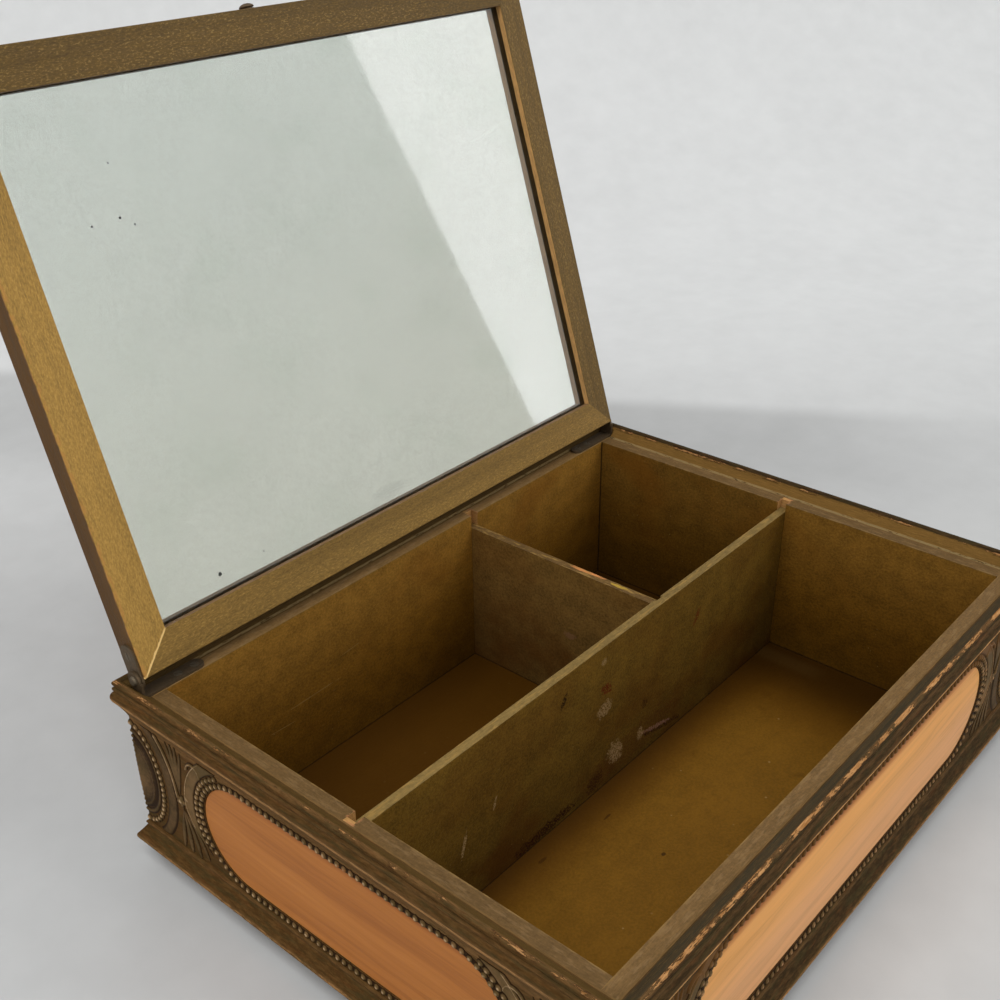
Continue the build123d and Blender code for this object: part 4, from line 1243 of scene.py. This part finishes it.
# Turned knob: radius and height of its profile from the top down, its sides and its place along the lid
KNOB_RADIUS = (0.02, 0.9, 1.7, 2.35, 2.7, 2.62, 2.2, 2.0, 2.3, 3.0, 3.0, 1.0, 1.0, 0.02)
KNOB_HEIGHT = (2.38, 2.33, 2.1, 1.72, 1.3, 1.0, 0.85, 0.7, 0.52, 0.4, 0.0, 0.0, -7.0, -7.0)
KNOB_SIDES = 32
KNOB_ALONG = -7.0


class BOX_OT_metalwork(bpy.types.Operator):
    """Build the knob and finish the hinges, screws and nails"""

    bl_idname = "keepsake.metalwork"
    bl_label = "Hinges and knob"

    def execute(self, context):
        finish = context.scene.keepsake_finish
        iron = iron_finish("blackened_iron", tuple(finish.iron))
        screws = iron_finish("screw_iron", linear(104, 92, 74))
        for hand in ("left", "right"):
            dress([hand + "_hinge_rim_leaf", hand + "_hinge_lid_leaf"], iron)
            dress([hand + "_hinge_rivet"], screws)
        dress(["rim_leaf_screws", "lid_leaf_screws", "bottom_nails"], screws)
        # Knob: its stepped and domed profile carried round its axis
        radius, height = np.array(KNOB_RADIUS)[:, None], np.array(KNOB_HEIGHT)[:, None]
        turn = np.arange(KNOB_SIDES) * 2 * pi / KNOB_SIDES
        out = (LID_FACE + LID_TOP) / 2 + radius * np.sin(turn)
        along, up = KNOB_ALONG + radius * np.cos(turn), LID_BACK + LID_DEPTH + height
        points = lid_point(along, up, out).reshape(-1, 3)
        faces = [*grid_faces(len(radius), KNOB_SIDES, wrap_columns=True)[:, ::-1],
                 range(KNOB_SIDES - 1, -1, -1), range(len(points) - KNOB_SIDES, len(points))]
        piece = make_piece("turned_knob", points, faces, iron, "lid")
        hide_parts("lift_knob")
        return {"FINISHED"}


# Sweep in metres: where its quarter circle starts, the circle's radius, the wall's top and its half width;
# and the way that it faces
SWEEP_START = 0.55
SWEEP_RADIUS = 0.5
SWEEP_TOP = 3.0
SWEEP_HALF = 9.0
SWEEP_HEADING = radians(-38)
SWEEP_BACK = np.array([-sin(SWEEP_HEADING), cos(SWEEP_HEADING), 0])

# Soft band of shade on the sweep: a place on its far edge in mm and the way across it
SHADE_PLACE = (306.0, 219.0)
SHADE_WAY = (0.85, 0.53)

# Upright card that the mirror shows, in metres: middle, way along, corners along and up, and where along it
# the brighter part ends; and the strength of its glow
CARD_MIDDLE = np.array([0.96, -1.0, 0.0])
CARD_WAY = np.array([-0.768, -0.640, 0.0])
CARD_CORNERS = ((-3, -0.4), (3, -0.4), (3, 3), (-3, 3))
CARD_EDGE = (-0.156, -0.15)
CARD_GLOW = 1.88

# Lamps: places and size in metres, the ceiling lamp's power, and the place that both look at
WINDOW_PLACE = (0.75, -0.9, 1.25)
CEILING_PLACE = (-0.75, -0.1, 1.5)
CEILING_POWER = 14.0
LAMP_SIZE = 1.1
LAMP_AIM = (0.0, 0.0, 0.06)

# Camera: place in metres, turn in radians, shift in shares of the picture and clipping in metres
EYE_PLACE = (-0.305697, -0.215428, 0.33185)
EYE_TURN = (1.03120808, 0.01780491, -0.85293782)
EYE_SHIFT = (0.01327, 0.05291)
EYE_CLIP = (0.01, 20.0)


def add_to_scene(name, data):
    """A new object in the scene."""
    thing = bpy.data.objects.new(name, data)
    bpy.context.scene.collection.objects.link(thing)
    return thing


def stage_sheet(name, points, faces, material, smooth):
    """A mesh of the stage from points in metres."""
    mesh = bpy.data.meshes.new(name)
    mesh.from_pydata(points.reshape(-1, 3).tolist(), [], faces)
    mesh.polygons.foreach_set("use_smooth", np.full(len(mesh.polygons), smooth))
    mesh.materials.append(material)
    return add_to_scene(name, mesh)


def paper_finish(floor):
    """Pale paper: cloudy, brighter towards the back, with a soft band of shade beside the lid."""
    bench = Bench("pale_paper", Specular_IOR_Level=0.1)
    x, y, z = bench.x, bench.y, bench.z
    cloud = bench.clouds(x, y, z, scale=0.012, detail=4.0)
    mottle = bench.clouds(x, y, z, scale=0.05)
    deep = x * float(SWEEP_BACK[0]) + y * float(SWEEP_BACK[1])
    tone = bench.rise(deep, 100.0, 600.0, 0.89, 1.2) * (0.89 + 0.1 * cloud + 0.12 * mottle)
    over, along = x - SHADE_PLACE[0], y - SHADE_PLACE[1]
    past = over * SHADE_WAY[0] + along * SHADE_WAY[1]
    aside = over * SHADE_WAY[1] - along * SHADE_WAY[0]
    shade = (1.0 - bench.rise(past, -16.0, 10.0)) * bench.rise(past, -190.0, -70.0)
    shade = shade * bench.rise(aside, 100.0, 240.0, 1.0, 0.25)
    return bench.finish(bench.tone(floor, tone * (1.0 - 0.24 * shade)), 0.9)


def card_finish():
    """Glowing card: one part brighter than the other, paler upwards and a little cloudy."""
    bench = Bench("room_card")
    x, y, z = bench.x, bench.y, bench.z
    along = (x * MM - CARD_MIDDLE[0]) * CARD_WAY[0] + (y * MM - CARD_MIDDLE[1]) * CARD_WAY[1]
    grey = bench.blend(bench.rise(z, -200.0, 900.0), linear(196, 196, 188), linear(206, 210, 207))
    glow = bench.blend(bench.rise(along, *CARD_EDGE), linear(240, 241, 240), grey)
    cloud = bench.clouds(x, y, z, scale=0.003, detail=5.0, rough=0.6)
    glow = bench.tone(glow, 0.93 + 0.14 * cloud)
    light = bench.node("ShaderNodeEmission", None, {"Color": glow, "Strength": CARD_GLOW})
    bench.tree.links.new(light.socket, bench.output.inputs["Surface"])
    return bench.material


def add_lamp(name, place, power, colour):
    """A square soft lamp that looks at the box."""
    lamp = bpy.data.lights.new(name, "AREA")
    lamp.size, lamp.energy, lamp.color = LAMP_SIZE, power, colour
    holder = add_to_scene(name, lamp)
    holder.location = place
    aim = np.array(LAMP_AIM) - np.array(place)
    aim = aim / np.linalg.norm(aim)
    holder.rotation_euler = (np.arccos(-aim[2]), 0.0, np.arctan2(aim[1], aim[0]) - pi / 2)


def sweep_points():
    """Flat floor, a quarter circle and an upright wall, carried straight across, in metres."""
    turn = np.linspace(0, pi / 2, 24)
    bend = np.stack([SWEEP_START + SWEEP_RADIUS * np.sin(turn), SWEEP_RADIUS * (1 - np.cos(turn))], -1)
    profile = np.concatenate([[[-SWEEP_HALF, 0.0]], bend, [[SWEEP_START + SWEEP_RADIUS, SWEEP_TOP]]])
    right = np.array([cos(SWEEP_HEADING), sin(SWEEP_HEADING), 0])
    across = right * np.array([-SWEEP_HALF, SWEEP_HALF])[:, None, None]
    return across + SWEEP_BACK * profile[None, :, :1] + np.array([0, 0, 1]) * profile[None, :, 1:]


def add_world(strength):
    """Even light from all round."""
    world = bpy.data.worlds.new("room")
    world.use_nodes = True
    ground = world.node_tree.nodes["Background"]
    ground.inputs["Color"].default_value = (0.99, 1.0, 1.0, 1.0)
    ground.inputs["Strength"].default_value = strength
    bpy.context.scene.world = world


def add_camera(lens):
    """The camera at the place that was worked out from the photo."""
    eye = bpy.data.cameras.new("camera")
    eye.lens, eye.sensor_width = lens, 36.0
    eye.shift_x, eye.shift_y = EYE_SHIFT
    eye.clip_start, eye.clip_end = EYE_CLIP
    camera = add_to_scene("camera", eye)
    camera.location = EYE_PLACE
    camera.rotation_euler = EYE_TURN
    bpy.context.scene.camera = camera


class BOX_OT_stage(bpy.types.Operator):
    """Set the floor, the backdrop, the lights and the camera"""

    bl_idname = "keepsake.stage"
    bl_label = "Floor, light and camera"

    def execute(self, context):
        stage = context.scene.keepsake_stage
        points = sweep_points()
        faces = grid_faces(*points.shape[:2]).tolist()
        sweep = stage_sheet("sweep", points, faces, paper_finish(tuple(stage.floor)), smooth=True)
        corners = np.array([CARD_MIDDLE + CARD_WAY * along + np.array([0, 0, up])
                            for along, up in CARD_CORNERS])
        card = stage_sheet("room_card", corners, [[0, 1, 2, 3]], card_finish(), smooth=False)
        card.visible_camera = card.visible_diffuse = card.visible_shadow = False
        add_lamp("window", WINDOW_PLACE, stage.key_power, (1.0, 0.985, 0.96))
        add_lamp("ceiling", CEILING_PLACE, CEILING_POWER, (1.0, 0.995, 0.98))
        add_world(stage.room_light)
        add_camera(stage.lens)
        context.scene.view_settings.view_transform = "Standard"
        return {"FINISHED"}


STEPS = (BOX_OT_walls, BOX_OT_panels, BOX_OT_beads, BOX_OT_carving, BOX_OT_lid, BOX_OT_mirror,
         BOX_OT_metalwork, BOX_OT_stage)
GROUPS = {"keepsake_finish": BoxFinish, "keepsake_ornament": BoxOrnament, "keepsake_stage": BoxStage}


class BOX_PT_panel(bpy.types.Panel):
    """Lists the steps and their settings"""

    bl_label = "Keepsake Box"
    bl_space_type = "VIEW_3D"
    bl_region_type = "UI"
    bl_category = "Keepsake Box"

    def draw(self, context):
        for group_name in GROUPS:
            group = getattr(context.scene, group_name)
            column = self.layout.column(align=True)
            for name in group.__annotations__:
                column.prop(group, name)
        for step in STEPS:
            self.layout.operator(step.bl_idname)


CLASSES = (BoxFinish, BoxOrnament, BoxStage, *STEPS, BOX_PT_panel)


def register():
    """Register the classes and hang the settings on the scene."""
    for kind in CLASSES:
        bpy.utils.register_class(kind)
    for name, kind in GROUPS.items():
        setattr(bpy.types.Scene, name, PointerProperty(type=kind))


def unregister():
    """Take the settings and the classes away again."""
    for name in GROUPS:
        delattr(bpy.types.Scene, name)
    for kind in reversed(CLASSES):
        bpy.utils.unregister_class(kind)


def main():
    """Build every piece in order."""
    register()
    for step in STEPS:
        group, name = step.bl_idname.split(".")
        getattr(getattr(bpy.ops, group), name)()


if __name__ == "__main__":
    main()
